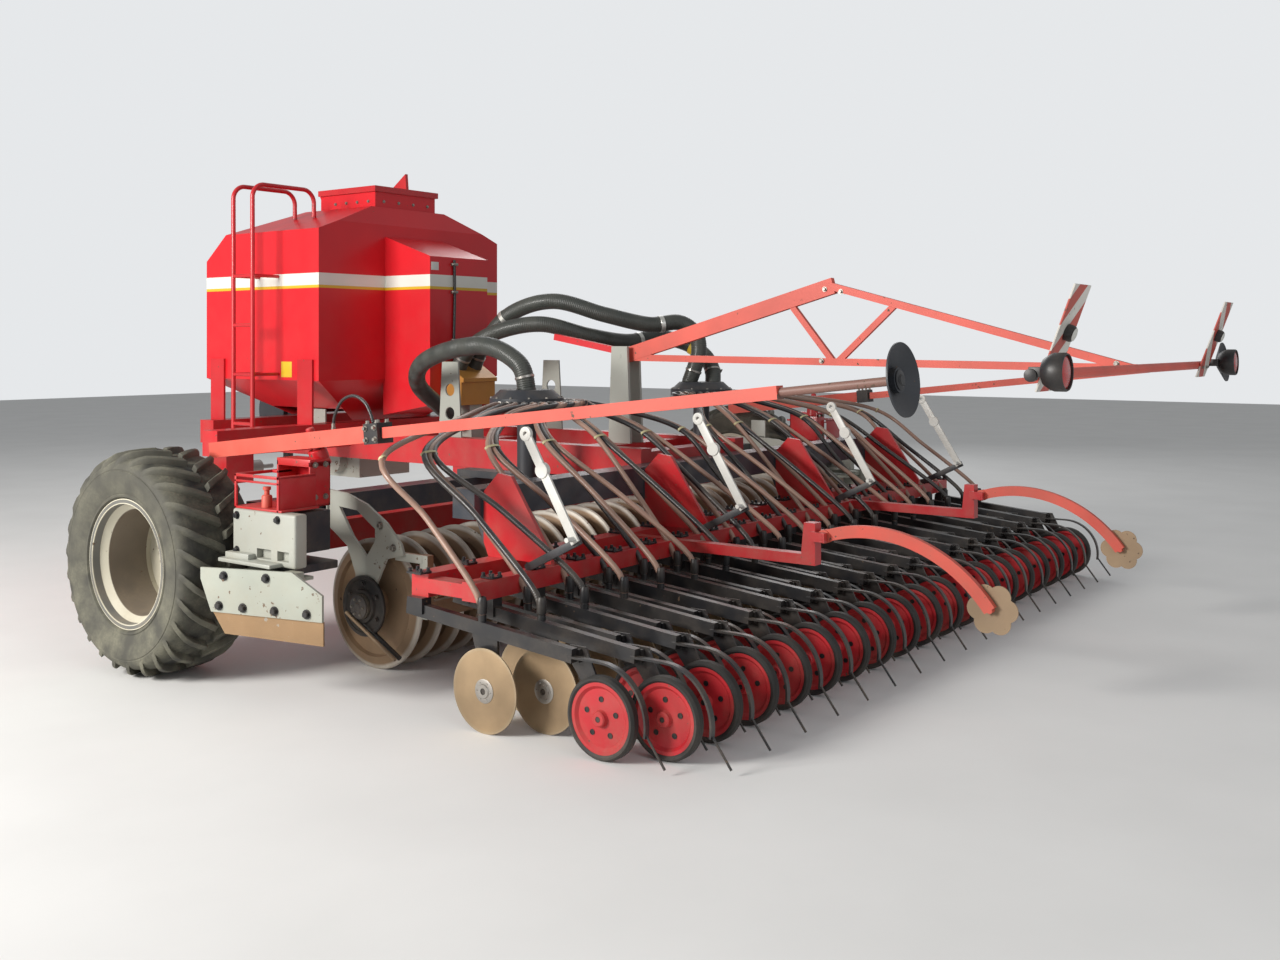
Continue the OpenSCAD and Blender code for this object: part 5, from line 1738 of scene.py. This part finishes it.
@dataclass
class CoulterDressing:
    """Clamps on the toolbars, disc hubs and press-wheel caps of all the seed rows."""

    rows: tuple[Row, ...] = (Row("front", 0, 0.0, -1.28, -1.18, 0.61), Row("rear", 1, ROW_STEP, -1.56, -1.48, 0.6))
    clamp_thick: float = 0.0094
    disc_face: float = -0.03
    hole_x: float = -0.0085

    def clamps(self, row: Row) -> None:
        """A clamp plate with four nuts over the toolbar at each coulter of a row."""
        depth, top = row.bar_front - row.bar_rear, row.bar_top + self.clamp_thick
        plate = Bench.block("plate", (-0.034, row.bar_rear + 0.006, row.bar_top + 0.0004),
                            (0.034, row.bar_front - 0.006, top), 0.0018, 1)
        nuts = [Matrix.Translation((x, row.bar_rear + depth * share, top)) for x in (-0.023, 0.023)
                for share in (0.18, 0.82)]
        heads = Bench.copies("nuts", Fastener(0.017, 0.013, 1.3).pattern(), nuts)
        FITTER.repeat(f"toolbar_clamps_{row.name}", Bench.join("clamp", plate, heads),
                      map(Matrix.Translation, row.places()), Palette.BLACK_STEEL, "black_steel")

    def disc_hubs(self, row: Row) -> None:
        """A riveted hub ring on the outer face of each seed disc of a row."""
        ring = Bench.spun("ring", [(0.0135, 0.0002), (0.05, 0.0002), (0.05, 0.002), (0.042, 0.004), (0.03, 0.004),
                                   (0.027, 0.009), (0.0135, 0.009), (0.0135, 0.0002)], 26, along=-X)
        rivet = Bench.spun("rivet", [(0.0, 0.0035), (0.0025, 0.003), (0.0045, 0.0), (0.0, 0.0)], 8, along=-X)
        rivets = Bench.copies("rivets", rivet, [Matrix.Translation((-0.004, c, s)) for c, s in circle(0.037, 6)])
        places = row.places(self.disc_face, DISC_Y - row.step_back, DISC_R)
        FITTER.repeat(f"disc_hubs_{row.name}", Bench.join("hub", ring, rivets), map(Matrix.Translation, places),
                      Palette.BARE, "bare_steel", f"discs_{row.name}")

    def wheel_caps(self, row: Row) -> None:
        """A cap and five lightening holes on the outer face of each press wheel of a row."""
        cap = Bench.spun("cap", [(0.0115, 0.0), (0.03, 0.0), (0.03, 0.006), (0.025, 0.011), (0.0115, 0.011),
                                 (0.0115, 0.0)], 20, (-0.0202, 0, 0), -X)
        collar = Bench.spun("collar", [(0.0, 0.0004), (0.0085, 0.0004), (0.0085, 0.002), (0.0115, 0.002),
                                       (0.0115, -0.001), (0.0, -0.001)], 12, along=-X)
        centres = row.places(0.0, PRESS_Y - row.step_back, PRESS_R)
        holes = [Matrix.Translation(centre + Vector((self.hole_x, c, s)))
                 for centre in centres for c, s in circle(0.073, 5, 18.0)]
        body = f"press_{row.name}"
        FITTER.repeat(f"press_caps_{row.name}", cap, map(Matrix.Translation, centres), Palette.PRESS_RED,
                      "red_paint", body)
        FITTER.repeat(f"press_holes_{row.name}", collar, holes, Palette.LAMP_BODY, "black_steel", body)

    def build(self) -> None:
        """Builds and dresses the pieces."""
        for make in (self.clamps, self.disc_hubs, self.wheel_caps):
            for row in self.rows:
                make(row)


@dataclass
class TrussDressing:
    """Bolts of the light truss and board fixings."""

    face: float = 0.0202
    joints: tuple[Span, ...] = ((-1.88, 1.9), (-1.98, 1.885), (-1.86, 1.5), (-3.46, 1.5))

    def build(self) -> None:
        """Bolts where the truss members and the boards are fixed."""
        spots = [(side.at(self.face, y, z), side.way) for side in Side for y, z in self.joints]
        Fastener(0.02, 0.01).place("truss_bolts", spots)
        out = Vector((0, -math.cos(BOARD_TILT), -math.sin(BOARD_TILT)))
        boards = [(side.at(BOARD_X, *CROSS_ARM) + out * (BOARD_LEAN + BOARD_THICK) + X * dx, out)
                  for side in Side for dx in (-0.045, 0.045)]
        Fastener(0.013, 0.006).place("board_fixings", boards)


@dataclass
class MarkerDressing:
    """Clamp bolts and disc hub of one side marker."""

    side: Side
    rows: Span = (-0.475, -0.415)
    disc_y: float = -2.975

    def build(self) -> None:
        """Builds the pieces, which fold with the arm."""
        side, slope = self.side, Matrix.Rotation(-MARKER_SLOPE, 4, "X")
        pivot = side.at(*MARKER_PIVOT)
        up, rear = slope @ Z, slope @ -Y
        spots = [(pivot + slope @ side.at(x, y, 0.046), up) for y in self.rows for x in (-0.03, 0.03)]
        spots += [(pivot + slope @ side.at(0.046, y, z), side.way) for y in self.rows for z in (0.026, -0.026)]
        Fastener(0.018, 0.012).place(f"marker_clamp_bolts_{side.word}", spots, f"marker_{side.word}")
        hub = Bench.spun(f"marker_hub_{side.word}", [(0.0, 0.012), (0.016, 0.012), (0.02, 0.006), (0.034, 0.004),
                                                     (0.034, 0.0003), (0.0, 0.0003)], 32,
                         pivot + slope @ side.at(0, self.disc_y, 0), rear)
        FITTER.fit(hub, Palette.BLACK_STEEL, "dark_paint", f"marker_disc_{side.word}")


@dataclass
class TramDressing:
    """Bolts of one tramline marker's lobed disc."""

    side: Side
    disc: Span = (-3.2, 0.44)

    def build(self) -> None:
        """Builds the bolts, which turn with the lobed disc."""
        face, (y, z) = self.side.value * TRAM_X + 0.026, self.disc
        spots = [((face, y + c, z + s), X) for c, s in circle(0.05, 4, 45.0)]
        Fastener(0.013, 0.006).place(f"tram_disc_bolts_{self.side.word}", spots, f"tram_disc_{self.side.word}")


@dataclass(frozen=True)
class Lamp:
    """Square area lamp that looks at the drill, with its power in watts."""

    name: str
    place: Point
    size: float
    power: float
    tint: Color = (1.0, 1.0, 1.0)

    def build(self, target: Vector) -> None:
        """Adds the lamp, aimed at a point."""
        data = bpy.data.lights.new(self.name, "AREA")
        data.shape = "SQUARE"
        data.size = self.size
        data.energy = self.power
        data.color = self.tint
        lamp = bpy.data.objects.new(self.name, data)
        lamp.location = self.place
        lamp.rotation_euler = (target - Vector(self.place)).to_track_quat("-Z", "Y").to_euler()
        bpy.context.scene.collection.objects.link(lamp)


@dataclass
class Studio:
    """Pale floor, soft lamps and the camera at the photo's angle."""

    target: Point = (0.0, 0.0, 1.0)
    camera_place: Point = (-6.3, -5.2, 1.6)
    camera_turn: Point = (90.0, 0.0, -53.8)
    lens: float = 35.44
    shift: float = -0.107
    floor_size: float = 60.0
    floor_colors: tuple[Color, Color] = ((0.76, 0.76, 0.75), (0.8, 0.8, 0.79))
    sky_color: Color = (0.93, 0.95, 0.97)
    sky_light: float = 0.34
    sky_seen: float = 0.85
    sky_mirrored: float = 0.25
    lamps: tuple[Lamp, ...] = (Lamp("key", (-10.0, 2.2, 4.2), 3.2, 1150.0, (1.0, 0.97, 0.93)),
                               Lamp("fill", (-4.0, -10.0, 4.0), 6.0, 120.0, (0.95, 0.97, 1.0)),
                               Lamp("far", (8.0, 5.0, 6.0), 6.0, 260.0))

    def floor(self) -> None:
        """A large pale floor."""
        Bench.clear()
        bpy.ops.mesh.primitive_plane_add(size=self.floor_size, location=(0, 0, 0))
        plane = Bench.named("studio_floor")
        material = bpy.data.materials.new("studio_floor")
        material.use_nodes = True
        graph = Graph(material.node_tree)
        speck = graph.span(graph.noise(1.4, 5.0), 0.3, 0.7)
        graph.fill(graph.first("BSDF_PRINCIPLED"), {"Base Color": graph.mix(speck, *self.floor_colors),
                                                    "Roughness": 0.85})
        plane.data.materials.append(material)

    def sky(self) -> None:
        """Even white surroundings, brighter to the camera than as light."""
        world = bpy.context.scene.world or bpy.data.worlds.new("studio")
        bpy.context.scene.world = world
        world.use_nodes = True
        graph = Graph(world.node_tree)
        rays = graph.node("ShaderNodeLightPath").outputs
        seen = graph.math("MAXIMUM", rays["Is Camera Ray"], graph.times(rays["Is Glossy Ray"], self.sky_mirrored))
        strength = graph.span(seen, 0.0, 1.0, self.sky_light, self.sky_seen)
        graph.fill(graph.first("BACKGROUND"), {"Color": self.sky_color, "Strength": strength})

    def camera(self) -> None:
        """The camera at the photo's place."""
        data = bpy.data.cameras.new("photo_view")
        data.sensor_width = 36.0
        data.lens = self.lens
        data.shift_y = self.shift
        data.clip_end = 200.0
        eye = bpy.data.objects.new("photo_view", data)
        eye.location = self.camera_place
        eye.rotation_euler = [math.radians(value) for value in self.camera_turn]
        bpy.context.scene.collection.objects.link(eye)
        bpy.context.scene.camera = eye

    def build(self) -> None:
        """Builds the studio."""
        bpy.context.scene.view_settings.view_transform = "Standard"
        self.floor()
        self.sky()
        for lamp in self.lamps:
            lamp.build(Vector(self.target))
        self.camera()


def dress_nodes() -> None:
    """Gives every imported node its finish."""
    for name, thing in frame["nodes"].items():
        material = PALETTE.get(NODE_FINISH[name])
        for index in range(len(thing.material_slots)):
            thing.material_slots[index].material = material
        LOG.info("node %s has %s", name, material.name)


def main() -> None:
    """Builds every sub-assembly's pieces."""
    logging.basicConfig(level=logging.INFO, format="%(name)s: %(message)s")
    Studio().build()
    dress_nodes()
    for assembly in (HopperDressing, MainHoses, SeedHoses, HeadDressing, RollerDressing, SideDressing,
                     CoulterDressing, TrussDressing, MarkerPost, SideBox, LeaningStruts, RearBoards, RearLamps,
                     HubFlange, LineLoop):
        assembly().build()
    for side in Side:
        for assembly in (TyreModel, WheelDressing, MarkerDressing, TramDressing):
            assembly(side).build()
    LOG.info("%d pieces", FITTER.count)


if __name__ == "__main__":
    main()
